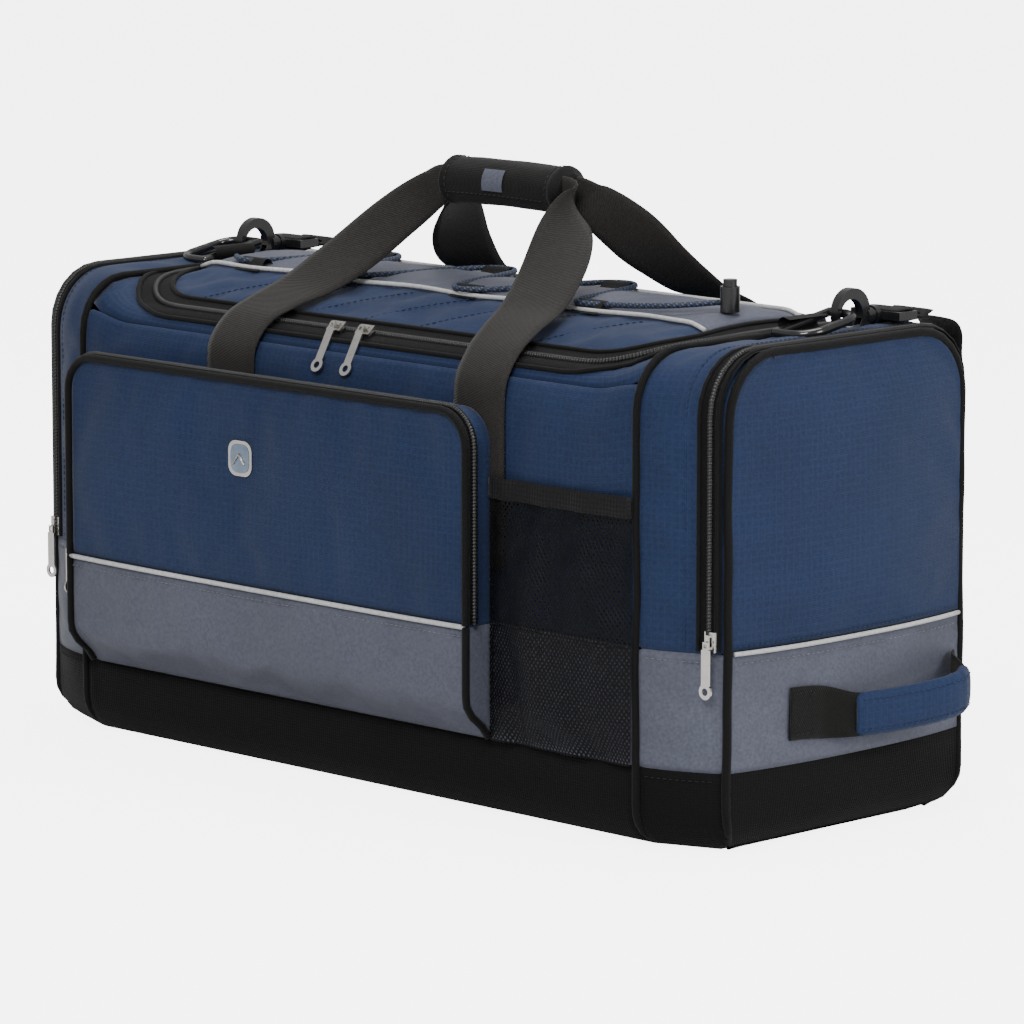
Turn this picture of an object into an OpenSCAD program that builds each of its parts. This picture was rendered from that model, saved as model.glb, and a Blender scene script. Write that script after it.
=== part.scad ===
// Large soft travel duffel bag: hinged lid, hinged pocket flaps, carrying handles,
// grab handles, shoulder strap with snap hooks and working zipper sliders.
// Millimetres. Origin on the floor at the middle of the base, +X along the length,
// -Y is the front with the large pocket, +Z is up.

/* [Body] */
// Length from end panel to end panel
body_length = 710; // [690:5:740]
// Depth of the middle section, front face to rear face
body_depth = 290; // [286:2:294]
// Height of the end panels
body_height = 343; // [340:1:346]
// Depth of the end panels
end_depth = 238; // [230:2:246]
// Length of each slanted end gusset
gusset_length = 66; // [60:2:70]
// Thickness of the padded fabric walls
wall = 4; // [3.5:0.5:4.5]
// Radius of the long top shoulders
shoulder_r = 40; // [36:2:42]
// Radius of the long bottom edges
foot_r = 20; // [16:2:24]
// Height of the black base
base_height = 58; // [50:2:62]
// Height of the seam above the grey band
band_top = 141; // [136:1:146]

/* [Lid] */
// Length of the lid between its zipped ends
lid_length = 555; // [540:5:560]
// Depth of the lid from its front zipper to its rear fold
lid_depth = 240; // [236:2:242]
// Height of the lid's crown above the floor
crown_height = 356; // [354:1:358]
// Corner radius of the lid's front corners
lid_corner = 70; // [50:5:80]
// Width of the grey strip along the lid
strip_width = 100; // [90:2:104]

/* [Front pocket] */
// Depth that the front pocket stands out
pocket_depth = 29; // [26:1:30]
// Left end of the front pocket
pocket_left = -273; // [-276:1:-268]
// Right end of the front pocket
pocket_right = 152; // [148:1:154]
// Height of the front pocket's top
pocket_top = 293; // [288:1:293]
// Corner radius of the front pocket
pocket_corner = 26; // [20:2:30]

/* [Webbing] */
// Width of the carrying handle webbing
webbing = 50; // [46:2:50]
// Thickness of the webbing
webbing_t = 3; // [2.4:0.2:3]
// Width of the shoulder strap and the grab handle webbing
strap_width = 38; // [36:1:40]

/* [Hidden] */

navy = [0.13, 0.2, 0.36];
slate = [0.36, 0.39, 0.46];
black = [0.06, 0.06, 0.06];
charcoal = [0.16, 0.15, 0.14];
nickel = [0.75, 0.74, 0.72];
wood = [0.55, 0.42, 0.28];

half_length = body_length / 2;
half_depth = body_depth / 2;
half_end = end_depth / 2;
main_half = half_length - gusset_length;
main_top = 335;
end_plate = 4;
gap = 0.5;
huge = 1200;

crown_r = 273;
crown_z = crown_height - crown_r;
seam = 4.5;
lid_front = -(lid_depth / 2 + 1.5);
lid_rear = lid_depth / 2 - 2;

face_y = -half_depth - webbing_t;
pocket_y = face_y - pocket_depth;
leg_left = -120;
leg_right = 139;

ring_x_right = 299;
ring_x_left = -295;
hook_x_right = 311;
hook_x_left = -307;
hook_y = 49;
hook_z = 356;

// A prism that runs along X from x0 to x1, with its outline drawn in Y and Z
module along_x(x0, x1)
    translate([x0, 0, 0]) rotate([90, 0, 90]) linear_extrude(x1 - x0) children();

// A prism that runs along Y from y0 to y1, with its outline drawn in X and Z
module along_y(y0, y1)
    translate([0, y1, 0]) rotate([90, 0, 0]) linear_extrude(y1 - y0) children();

// The part of the children between two heights
module layer(z0, z1)
    intersection() {
        children();
        translate([-huge / 2, -huge / 2, z0]) cube([huge, huge, z1 - z0]);
    }

// A rectangle with four equal round corners, from its lowest corner
module round_rect(low, high, r) {
    translate([low[0] + r, low[1]]) square([high[0] - low[0] - 2 * r, high[1] - low[1]]);
    translate([low[0], low[1] + r]) square([high[0] - low[0], high[1] - low[1] - 2 * r]);
    for (x = [low[0] + r, high[0] - r], z = [low[1] + r, high[1] - r])
        translate([x, z]) circle(r, $fn = 48);
}

// Outline of the bag across its length: upright sides, round shoulders and foot edges
module bag_outline(half, top, inset = 0) {
    r = shoulder_r - inset;
    foot = foot_r - inset;
    side = half - inset;
    for (s = [-1, 1]) {
        translate([s * (side - r), top - inset - r]) circle(r, $fn = 32);
        translate([s * (side - foot), inset + foot]) circle(foot, $fn = 32);
    }
    translate([-side, inset + foot]) square([2 * side, top - 2 * inset - foot - r]);
    translate([r - side, inset + foot]) square([2 * (side - r), top - 2 * inset - foot]);
    translate([foot - side, inset]) square([2 * (side - foot), top - 2 * inset - r]);
}

// Solid middle section of the bag
module middle(inset = 0, over = 0)
    along_x(-main_half - over, main_half + over) bag_outline(half_depth, main_top, inset);

// Solid slanted end section, for the right end or the left end
module end_section(side, inset = 0, over = 0)
    hull() {
        for (step = [[main_half + 0.1 - over, half_depth, main_top],
                [half_length - end_plate - 0.1 + over, half_end, body_height]])
            along_x(side * step[0] - 0.05, side * step[0] + 0.05)
                bag_outline(step[1], step[2], inset);
    }

// Walls of the middle section, and of one end section
module middle_walls() difference() { middle(); middle(wall, 1); }
module end_walls(side) difference() { end_section(side); end_section(side, wall, 0.5); }

// Flat end plate
module plate(side, inset = 0, t = end_plate)
    along_x(side > 0 ? half_length - end_plate : -half_length + end_plate - t,
        side > 0 ? half_length - end_plate + t : -half_length + end_plate)
        bag_outline(half_end, body_height, inset);

// Outline of the lid seen from above, grown or shrunk by an inset
module lid_plan(inset = 0) {
    r = lid_corner - inset;
    x = lid_length / 2 - inset;
    y0 = lid_front + inset;
    y1 = lid_rear - inset;
    translate([-x, y0 + r]) square([2 * x, y1 - y0 - r]);
    translate([r - x, y0]) square([2 * (x - r), y1 - y0]);
    for (s = [-1, 1]) translate([s * (x - r), y0 + r]) circle(r, $fn = 64);
}

// A layer that follows the lid's crown, between two heights above its surface
module crown_layer(low, high)
    along_x(-main_half, main_half)
        translate([0, crown_z]) intersection() {
            difference() {
                circle(crown_r + high, $fn = 128);
                circle(crown_r + low, $fn = 128);
            }
            translate([-half_depth, 150]) square([body_depth, 200]);
        }

// ---- the shell ----

module base_panel() color(black) layer(0, base_height) {
    middle_walls();
    for (s = [-1, 1]) {
        end_walls(s);
        plate(s);
    }
}

module base_board() color(wood)
    translate([-280, -120, wall]) cube([560, 240, 3]);

module front_panel() color(navy) layer(band_top, main_top - shoulder_r)
    intersection() {
        middle_walls();
        translate([-huge / 2, -huge / 2, 0]) cube([huge, huge / 2, huge]);
    }

module rear_panel() color(navy) layer(band_top, main_top - shoulder_r)
    intersection() {
        middle_walls();
        translate([-huge / 2, 0, 0]) cube([huge, huge / 2, huge]);
    }

module side_bands() color(slate) layer(base_height, band_top) middle_walls();

module top_frame() color(navy) layer(main_top - shoulder_r, main_top + 1)
    difference() {
        middle_walls();
        linear_extrude(huge) lid_plan(-seam);
    }

module right_gusset() color(navy) layer(band_top, huge / 2) end_walls(1);
module left_gusset() color(navy) layer(band_top, huge / 2) end_walls(-1);

module gusset_bands() color(slate) layer(base_height, band_top)
    for (s = [-1, 1]) end_walls(s);

module right_end_band() color(slate) layer(base_height, band_top) plate(1);
module left_end_band() color(slate) layer(base_height, band_top) plate(-1);

module end_partitions() color(black) layer(base_height, huge / 2)
    for (s = [-1, 1])
        along_x(s * (main_half - 2) - 1, s * (main_half - 2) + 1)
            bag_outline(half_depth, main_top, wall);

// Round cord sewn in along the four seams that run round the bag
module piping_ring(x, half, top)
    along_x(x - 2.5, x + 2.5) difference() {
        bag_outline(half, top, -3);
        bag_outline(half, top);
    }
module piping() color(black) layer(0, huge / 2)
    for (s = [-1, 1]) {
        piping_ring(s * (main_half - 3), half_depth, main_top);
        piping_ring(s * (half_length - 8), half_end + 3, body_height + 1);
    }

module lid_zipper_tape() color(black) intersection() {
    crown_layer(-wall, 0);
    linear_extrude(huge) difference() {
        lid_plan(-seam + gap);
        lid_plan(-gap);
    }
}

module end_zipper_tapes() color(black) layer(band_top, huge / 2)
    for (s = [-1, 1])
        along_x(s * (half_length - 2) - 2, s * (half_length - 2) + 2) difference() {
            bag_outline(half_end, body_height, 0);
            bag_outline(half_end, body_height, 3);
        }

// ---- the front pocket and the mesh pocket ----

module pocket_outline(inset)
    round_rect([pocket_left + inset, base_height + 2 + inset],
        [pocket_right - inset, pocket_top - inset], pocket_corner - inset);

module front_pocket() color(slate) {
    along_y(pocket_y + 3, face_y) difference() {
        pocket_outline(0);
        pocket_outline(3);
    }
    layer(0, band_top) along_y(pocket_y, pocket_y + 3) pocket_outline(0);
}

module pocket_zipper_tape() color(black) layer(band_top, huge / 2)
    along_y(pocket_y, pocket_y + 3) difference() {
        pocket_outline(0);
        pocket_outline(3);
    }

mesh_x0 = 166;
mesh_x1 = 284;
mesh_out = 14;
mesh_top = 246;
elastic = 15;

module mesh_pocket() color(charcoal) difference() {
    translate([mesh_x0, face_y - mesh_out, base_height + 2])
        cube([mesh_x1 - mesh_x0, mesh_out, mesh_top - elastic - base_height - 2]);
    translate([mesh_x0 + 2, face_y - mesh_out + 2, base_height + 4])
        cube([mesh_x1 - mesh_x0 - 4, mesh_out, huge]);
}

module mesh_pocket_band() color(black) difference() {
    translate([mesh_x0, face_y - mesh_out, mesh_top - elastic])
        cube([mesh_x1 - mesh_x0, mesh_out, elastic]);
    translate([mesh_x0 + 2, face_y - mesh_out + 2, 0])
        cube([mesh_x1 - mesh_x0 - 4, mesh_out, huge]);
}

// ---- sewn webbing ----

ring_y = 10;
ring_half = 28;
ring_bar_z = 353;
ring_tilt = 10;

module ring_tabs() color(black)
    for (s = [-1, 1]) {
        x = s > 0 ? ring_x_right : ring_x_left;
        translate([s > 0 ? 279.5 : x + 2, ring_y - 19, 343.6])
            cube([abs(x) - 281.5, strap_width, 1.4]);
        translate([x, ring_y, ring_bar_z]) rotate([ring_tilt - 90, 0, 0])
            translate([0, 0, -19]) difference() {
                cylinder(h = strap_width, r = 6, $fn = 32);
                translate([0, 0, -1]) cylinder(h = strap_width + 2, r = 3.9, $fn = 32);
            }
    }

module handle_anchors() color(charcoal)
    for (x = [leg_left, leg_right], s = [-1, 1])
        translate([x - webbing / 2, s > 0 ? half_depth : -half_depth - webbing_t, 20])
            cube([webbing, webbing_t, main_top - shoulder_r - 22]);

grab_z = 97;
grab_y0 = -68;
grab_y1 = 109;
tab_length = 34;

module grab_tabs() color(black)
    for (s = [-1, 1], y = [grab_y0, grab_y1 - tab_length])
        translate([s > 0 ? half_length : -half_length - 2.4, y, grab_z - strap_width / 2])
            cube([2.4, tab_length, strap_width]);

// ---- the lid ----

module lid_panel() color(navy) intersection() {
    crown_layer(-wall, 0);
    linear_extrude(huge) lid_plan();
}

module lid_strip() color(slate) intersection() {
    crown_layer(0, 1.2);
    translate([-244, -strip_width / 2, 0]) cube([488, strip_width, huge]);
}

tab_x_front = [-224, -100, 24, 148];
tab_x_rear = [-162, -38, 86, 210];

module lid_tabs() color(black) intersection() {
    crown_layer(1.2, 4);
    union() {
        for (x = tab_x_front) translate([x - 17, -strip_width / 2, 0]) cube([34, 12, huge]);
        for (x = tab_x_rear) translate([x - 17, strip_width / 2 - 12, 0]) cube([34, 12, huge]);
    }
}

// Sweeps a cross-section of n corners along rings of points, as one closed solid
module sweep(rings) {
    n = len(rings[0]);
    count = len(rings);
    points = [for (ring = rings) each ring];
    near = [for (i = [0:count - 2], k = [0:n - 1])
        [i * n + (k + 1) % n, (i + 1) * n + k, i * n + k]];
    far = [for (i = [0:count - 2], k = [0:n - 1])
        [i * n + (k + 1) % n, (i + 1) * n + (k + 1) % n, (i + 1) * n + k]];
    start = [for (k = [n - 1:-1:0]) k];
    finish = [for (k = [0:n - 1]) (count - 1) * n + k];
    polyhedron(points, concat([start], near, far, [finish]), convexity = 8);
}

function unit(v) = v / norm(v);
function tangent(path, i) =
    unit(path[min(i + 1, len(path) - 1)] - path[max(i - 1, 0)]);

// One round ring of a cord, square to its path
function cord_ring(path, i, r, n) =
    let (t = tangent(path, i), u = unit(cross(t, [0, 0, 1])), v = cross(u, t))
    [for (k = [0:n - 1]) path[i] + r * (cos(360 * k / n) * u + sin(360 * k / n) * v)];

// A smooth point between b and c on the curve through a, b, c and d
function smooth(a, b, c, d, f) =
    0.5 * (2 * b + (c - a) * f + (2 * a - 5 * b + 4 * c - d) * f * f
        + (3 * b - a - 3 * c + d) * f * f * f);
function smooth_path(p, steps) = [
    for (i = [0:len(p) - 2], k = [0:steps - 1])
        smooth(p[max(i - 1, 0)], p[i], p[i + 1], p[min(i + 2, len(p) - 1)], k / steps),
    p[len(p) - 1]];

// The shock cord's route over the lid, as [x, y, height above the crown]
cord_r = 2;
cord_route = [[244, -16, 10], [214, -38, 9], [165, -44, 6.6], [131, -44, 6.6],
    [103, 44, 6.6], [69, 44, 6.6], [41, -44, 6.6], [7, -44, 6.6],
    [-21, 44, 6.6], [-55, 44, 6.6], [-83, -44, 6.6], [-117, -44, 6.6],
    [-145, 44, 6.6], [-179, 44, 6.6], [-207, -44, 6.6], [-234, -40, 6.6]];
cord_path = [for (p = cord_route)
    [p[0], p[1], crown_z + sqrt(crown_r * crown_r - p[1] * p[1]) + p[2]]];

module bungee_cord() color(black) {
    path = smooth_path(cord_path, 4);
    sweep([for (i = [0:len(path) - 1]) cord_ring(path, i, cord_r, 8)]);
}

lock_at = [251, -13, 367];
lock_r = 7;

module cord_lock() color(black) translate(lock_at) {
    difference() {
        translate([0, 0, -9]) cylinder(h = 18, r = lock_r, $fn = 32);
        translate([0, 0, -7]) cylinder(h = 20, r = lock_r - 1.6, $fn = 32);
    }
}

module cord_lock_button() color(black) translate(lock_at) {
    translate([0, 0, -2]) cylinder(h = 16, r = lock_r - 2, $fn = 32);
}

// ---- carrying handles ----

// A flat ribbon: each station is [centre, direction of its width, width]
module ribbon(stations, t)
    sweep([for (i = [0:len(stations) - 1])
        let (c = [for (s = stations) s[0]], w = unit(stations[i][1]),
            n = unit(cross(tangent(c, i), w)), h = stations[i][2] / 2)
        [c[i] - h * w - n * t / 2, c[i] - h * w + n * t / 2,
            c[i] + h * w + n * t / 2, c[i] + h * w - n * t / 2]]);

leg_z = 298;
leg_y = half_depth + webbing_t / 2 + 2.5;
loop_z = 429;

// One side's loop: s is -1 in front and 1 behind, in_y and in_z are its place in the wrap
function loop_stations(s, in_y, in_z, in_w) = [
    [[leg_left, s * leg_y, leg_z], [1, 0, 0], webbing],
    [[leg_left, s * (leg_y - 3), 313], [1, 0, 0], webbing],
    [[-118, s * 133, 330], [1, 0, 0], webbing],
    [[-113, s * 112, 341], [1, s * 0.1, 0], webbing],
    [[-105, s * 84, 354], [1, s * 0.2, 0], webbing],
    [[-90, s * 56, 375], [1, s * 0.3, 0.1], webbing],
    [[-72, s * 32, 401], [0.8, s * 0.5, 0.4], 44],
    [[-58, (in_y + s * 14) / 2, 427], [0.3, 0, 1], in_w],
    [[-44, in_y, in_z], [0, 0, 1], in_w],
    [[21, in_y, in_z + 1], [0, 0, 1], in_w],
    [[86, in_y, in_z], [0, 0, 1], in_w],
    [[100, (in_y + s * 14) / 2, 427], [-0.3, 0, 1], in_w],
    [[109, s * 32, 401], [-0.8, s * 0.5, 0.4], 44],
    [[119, s * 56, 378], [-1, s * 0.3, 0.1], webbing],
    [[127, s * 84, 357], [-1, s * 0.2, 0], webbing],
    [[133, s * 112, 343], [-1, s * 0.1, 0], webbing],
    [[137, s * 133, 330], [-1, 0, 0], webbing],
    [[leg_right, s * (leg_y - 3), 313], [-1, 0, 0], webbing],
    [[leg_right, s * leg_y, leg_z], [-1, 0, 0], webbing]];

module front_webbing() color(charcoal) ribbon(loop_stations(-1, -10, 429, 20), webbing_t);
module rear_webbing() color(charcoal) ribbon(loop_stations(1, 4, 431, 17), webbing_t);

wrap_x0 = -51;
wrap_x1 = 93;
wrap_r = 20;

module handle_wrap() color(charcoal) along_x(wrap_x0, wrap_x1)
    translate([-2, loop_z]) difference() {
        circle(wrap_r, $fn = 64);
        circle(wrap_r - 5, $fn = 64);
        translate([0, -17]) square([wrap_r + 5, 30]);
    }

// ---- pocket flap and end flaps ----

module pocket_flap() color(navy) layer(band_top + gap, huge / 2)
    along_y(pocket_y, pocket_y + 3) pocket_outline(3.4);

module badge() color(nickel)
    translate([-78, pocket_y, 236]) rotate([90, 0, 0])
        linear_extrude(2) round_rect([-12.5, -13], [12.5, 13], 8);

module end_flap(side) color(navy) layer(band_top + gap, huge / 2)
    along_x(side > 0 ? half_length - end_plate + 0.6 : -half_length - 4,
        side > 0 ? half_length + 4 : -half_length + end_plate - 0.6)
        bag_outline(half_end, body_height, 3.6);
module right_end_flap() end_flap(1);
module left_end_flap() end_flap(-1);

// ---- zipper sliders and pulls ----

// A slider that travels along X with its bridge facing -Y, standing on its own origin
bridge = 4.6;
module slider() color(nickel) {
    translate([-7, -2.5, -4.5]) cube([14, 2.5, 9]);
    difference() {
        translate([-5, -bridge, -1.4]) cube([10, bridge - 2.4, 2.8]);
        translate([-3.4, 1 - bridge, -2]) cube([6.8, 1.2, 4]);
    }
}

// A long pull that hangs down in front of a slider's bridge, from its top at the origin
pull_length = 40;
module pull() color(nickel)
    rotate([90, 0, 0]) translate([0, 0, -0.7]) linear_extrude(1.4) difference() {
        union() {
            translate([-3.6, -pull_length + 6]) square([7.2, pull_length - 11]);
            translate([0, -pull_length + 6]) circle(5.5, $fn = 32);
            translate([-2.3, -6]) square([4.6, 6.5]);
        }
        translate([0, -pull_length + 6]) circle(2.6, $fn = 32);
        translate([-1.4, -3.6]) square([2.8, 2.6]);
    }

pull_stand = bridge + 1.4;
main_zip = [-30, -126.4, 331];
main_gap = 30;
main_lean = 50;
pull_lean = 29;
end_zip = [half_length - 12, -half_end - 8.6, 150];
pocket_zip = [pocket_left - 1, pocket_y + 8, 150];

module main_slider(x) translate(main_zip + [x, 0, 0]) rotate([-main_lean, 0, 0]) slider();
module main_pull(x)
    translate(main_zip + [x, -pull_stand * cos(main_lean), pull_stand * sin(main_lean)])
        rotate([-pull_lean, 0, 0]) pull();
module end_slider(side)
    translate([side * end_zip[0], end_zip[1], end_zip[2]]) rotate([0, 90, 0]) slider();
module end_pull(side)
    translate([side * end_zip[0], end_zip[1] - pull_stand, end_zip[2]]) pull();

module main_slider_left() main_slider(0);
module main_slider_right() main_slider(main_gap);
module right_end_slider() end_slider(1);
module left_end_slider() end_slider(-1);
module pocket_slider() translate(pocket_zip) rotate([0, 0, -90]) rotate([0, 90, 0]) slider();
module main_pull_left() main_pull(0);
module main_pull_right() main_pull(main_gap);
module right_end_pull() end_pull(1);
module left_end_pull() end_pull(-1);
module pocket_pull() translate(pocket_zip - [pull_stand, 0, 0]) rotate([0, 0, -90]) pull();

// ---- D-rings ----

ring_wire = 3.2;
ring_depth = 30;

module d_ring(side) color(black) {
    x = side > 0 ? ring_x_right : ring_x_left;
    translate([x, ring_y, ring_bar_z]) rotate([ring_tilt, 0, 0]) {
        rotate([90, 0, 0]) cylinder(h = 2 * ring_half, r = ring_wire, center = true, $fn = 32);
        for (y = [-ring_half, ring_half])
            translate([0, y, 0]) {
                sphere(ring_wire, $fn = 32);
                rotate([0, side * 90, 0]) cylinder(h = ring_depth - 16, r = ring_wire, $fn = 32);
                translate([side * (ring_depth - 16), 0, 0]) sphere(ring_wire, $fn = 32);
            }
        for (s = [-1, 1])
            translate([side * (ring_depth - 16), s * (ring_half - 16), 0])
                rotate([0, 0, side > 0 ? (s > 0 ? 0 : -90) : (s > 0 ? 90 : 180)])
                    rotate_extrude(angle = 90, $fn = 64) translate([16, 0]) circle(ring_wire, $fn = 32);
        translate([side * ring_depth, 0, 0]) rotate([90, 0, 0])
            cylinder(h = 2 * (ring_half - 16), r = ring_wire, center = true, $fn = 32);
    }
}
module right_ring() d_ring(1);
module left_ring() d_ring(-1);

// ---- shoulder strap ----

strap_y = 162;
strap_low = 76;

// Centreline of the strap, from the right swivel over the rear edge and round behind
strap_route = [[hook_x_right, 94, 352], [hook_x_right - 1, 118, 349], [hook_x_right - 3, 142, 342],
    [300, 157, 322], [296, strap_y, 290], [284, strap_y + 2, 210], [258, strap_y + 2, 150],
    [210, strap_y + 2, 108], [140, strap_y + 2, 86], [60, strap_y + 2, strap_low + 3],
    [0, strap_y + 2, strap_low]];
strap_left = [[-60, strap_y + 2, strap_low + 3], [-140, strap_y + 2, 86],
    [-210, strap_y + 2, 108], [-258, strap_y + 2, 150], [-284, strap_y + 2, 210],
    [-295, strap_y, 290], [-299, 157, 322], [hook_x_left + 2, 142, 342],
    [hook_x_left + 1, 118, 349], [hook_x_left, 94, 352]];
strap_points = concat(strap_route, strap_left);

// The webbing lies flat on the rear face, so its width runs across its path in X and Z
function strap_width_way(p, i) =
    let (t = tangent(p, i)) unit(cross(t, abs(t[1]) > 0.5 ? [0, 0, 1] : [0, 1, 0.001]));
strap_ways = [for (i = [0:len(strap_points) - 1]) strap_width_way(strap_points, i)];

module shoulder_strap() color(black)
    ribbon([for (i = [0:len(strap_points) - 1])
        [strap_points[i], strap_ways[i], strap_width]], 2);

module shoulder_pad() color(black) difference() {
    along_y(strap_y - 3, strap_y + 8)
        round_rect([-110, strap_low - 26], [110, strap_low + 40], 24);
    along_y(strap_y - 1, strap_y + 6)
        round_rect([-160, strap_low - 23], [160, strap_low + 34], 10);
}

// A keeper loop round the webbing
module glide(x, z, turn) translate([x, strap_y + 1.3, z]) rotate([0, turn, 0])
    translate([0, 0, -10]) linear_extrude(20) difference() {
        round_rect([-24, -4.4], [24, 4.4], 2);
        round_rect([-20.5, -1.9], [20.5, 1.9], 0.8);
    }
module strap_glides() color(black) {
    glide(288.5, 240, 8.5);
    glide(-288.1, 240, -7.8);
}

eye_y = 76;
module swivel(x) color(black) translate([x, eye_y, hook_z - 2]) {
    difference() {
        translate([-23, -4, -3]) cube([46, 19, 6]);
        translate([-20, 0, -4]) cube([40, 11, 8]);
    }
    rotate([90, 0, 0]) translate([0, 0, 4]) cylinder(h = 4, r = 6.5, $fn = 32);
}
module right_swivel() swivel(hook_x_right);
module left_swivel() swivel(hook_x_left);

// A snap hook: a barrel on the swivel, a round spine, a nose and a short lower jaw
hook_t = 7;
gate_t = 4.8;
module hook(x) color(black) translate([x, hook_y, hook_z]) {
    translate([0, 18.5, -2]) rotate([90, 0, 0]) cylinder(h = 7, r = 5.6, $fn = 32);
    difference() {
        along_x(-hook_t / 2, hook_t / 2) {
            difference() {
                translate([-3, 2]) circle(17, $fn = 64);
                translate([-5, 0]) circle(11.5, $fn = 64);
                translate([-30, -40]) square([60, 32]);
            }
            translate([-19.6, -11.5]) square([9, 4]);
        }
        translate([-gate_t / 2 - 0.4, 0, -9]) cube([gate_t + 0.8, 11, 6]);
    }
}
module right_hook() hook(hook_x_right);
module left_hook() hook(hook_x_left);

module gate(x) color(nickel) translate([x, hook_y, hook_z]) {
    along_x(-gate_t / 2, gate_t / 2) translate([-10.2, -10.9]) square([19.8, 2.4]);
}
module right_gate() gate(hook_x_right);
module left_gate() gate(hook_x_left);

// ---- grab handles on the two ends ----

bow = 38;
grab_mid = 20.5;
grab_half = 54.5;
grab_r = (grab_half * grab_half + bow * bow) / (2 * bow);
grab_x = half_length + 2.5 + bow - grab_r;
fold_height = 26;

// The handle is an arc about an upright line, given by its cross-section and half angle
module grab_arc(side, half_angle)
    translate([side * grab_x, grab_mid, grab_z])
        rotate([0, 0, (side > 0 ? 0 : 180) - half_angle])
            rotate_extrude(angle = 2 * half_angle, $fn = 96) translate([grab_r, 0]) children();

module grab_webbing(side) color(black)
    grab_arc(side, 60) square([2.2, fold_height], center = true);
module right_grab_webbing() grab_webbing(1);
module left_grab_webbing() grab_webbing(-1);

// A padded sleeve round the middle of the grab handle
module grab_sleeve(side) color(navy) grab_arc(side, 42) difference() {
    square([9, fold_height + 5], center = true);
    square([3, fold_height + 1], center = true);
}
module right_grab_sleeve() grab_sleeve(1);
module left_grab_sleeve() grab_sleeve(-1);

base_panel();
base_board();
front_panel();
rear_panel();
side_bands();
top_frame();
right_gusset();
left_gusset();
gusset_bands();
right_end_band();
left_end_band();
end_partitions();
piping();
lid_zipper_tape();
end_zipper_tapes();
front_pocket();
pocket_zipper_tape();
mesh_pocket();
mesh_pocket_band();
ring_tabs();
handle_anchors();
grab_tabs();
lid_panel();
lid_strip();
lid_tabs();
bungee_cord();
cord_lock();
cord_lock_button();
front_webbing();
handle_wrap();
rear_webbing();
pocket_flap();
badge();
right_end_flap();
left_end_flap();
main_slider_left();
main_slider_right();
right_end_slider();
left_end_slider();
pocket_slider();
main_pull_left();
main_pull_right();
right_end_pull();
left_end_pull();
pocket_pull();
right_ring();
left_ring();
shoulder_strap();
shoulder_pad();
strap_glides();
right_swivel();
left_swivel();
right_hook();
left_hook();
right_gate();
left_gate();
right_grab_webbing();
right_grab_sleeve();
left_grab_webbing();
left_grab_sleeve();
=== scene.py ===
"""Looks for the travel duffel bag: soft shell, lid, pockets, webbing and hardware finishes."""
import math
import bpy
import bmesh
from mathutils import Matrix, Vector, noise


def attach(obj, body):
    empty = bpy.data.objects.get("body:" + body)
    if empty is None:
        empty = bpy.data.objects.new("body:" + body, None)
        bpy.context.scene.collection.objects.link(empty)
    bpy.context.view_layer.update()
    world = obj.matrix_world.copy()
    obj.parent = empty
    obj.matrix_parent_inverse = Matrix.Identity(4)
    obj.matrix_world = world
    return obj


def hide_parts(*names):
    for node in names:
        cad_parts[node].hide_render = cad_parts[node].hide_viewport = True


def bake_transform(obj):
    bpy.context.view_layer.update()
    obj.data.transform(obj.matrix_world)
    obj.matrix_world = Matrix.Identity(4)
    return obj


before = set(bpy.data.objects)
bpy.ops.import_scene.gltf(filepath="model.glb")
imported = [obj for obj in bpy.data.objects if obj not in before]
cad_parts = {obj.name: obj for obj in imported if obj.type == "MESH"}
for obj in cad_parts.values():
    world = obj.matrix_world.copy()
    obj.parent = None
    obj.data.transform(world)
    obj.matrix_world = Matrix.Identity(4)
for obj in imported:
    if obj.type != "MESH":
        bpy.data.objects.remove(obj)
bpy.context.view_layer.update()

# All lengths below are millimetres in the shared frame: X to the right end, Y to the rear, Z up.
MAIN_HALF = 289.0
END_X = 355.0
HALF_DEPTH = 145.0
HALF_END = 119.0
BASE_TOP = 58.0
BAND_TOP = 141.0
FOOT = 26.0
SHOULDER = 40.0
MAIN_TOP = 335.0
END_TOP = 343.0
END_CORNER = 45.0
CROWN_R = 273.0
CROWN_Z = 83.0
LID_X = 277.5
LID_FRONT = -121.5
LID_REAR = 118.0
LID_CORNER = 70.0
POCKET_LOW = -273.0
POCKET_HIGH = 152.0
POCKET_TOP = 293.0
POCKET_LEVEL = 60.0
POCKET_CORNER = 26.0
POCKET_FACE = -174.0
POCKET_MIDDLE = (-60, -120, 150)
LEG_LEFT = -120.0
LEG_RIGHT = 139.0
WEBBING = 50.0
STRAP = 38.0
PANEL_THICK = 1.6
LINED_FROM = 1.4
BADGE = (-78.0, 236.0)
BAG = (0, 0, 170)
SIDES = ((1, "right"), (-1, "left"))
FACES = ((-1, "front"), (1, "rear"))


def point(x, y, z):
    """A point given in millimetres, as metres."""
    return Vector((x, y, z)) / 1000.0


def ease(t):
    """A smooth step from 0 to 1."""
    t = min(1.0, max(0.0, t))
    return t * t * (3.0 - 2.0 * t)


def mix(a, b, t):
    return a + (b - a) * t


def spaced(low, high, step):
    """Even values from low to high, as near to a step as fits."""
    return evenly(low, high, max(1, round(abs(high - low) / step)))


def evenly(low, high, parts):
    return [mix(low, high, k / parts) for k in range(parts + 1)]


def around(count):
    """Cosine and sine of evenly spread directions round a circle."""
    turns = [2 * math.pi * k / count for k in range(count)]
    return [(math.cos(turn), math.sin(turn)) for turn in turns]


def arc(a, b, size, angles):
    """Points of an arc about (a, b), at angles in degrees."""
    turns = [math.radians(angle) for angle in angles]
    return [(a + size * math.cos(turn), b + size * math.sin(turn)) for turn in turns]


def squared(value, power):
    """A cosine or sine pushed outward, which squares off a circle."""
    return math.copysign(abs(value) ** power, value)


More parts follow.
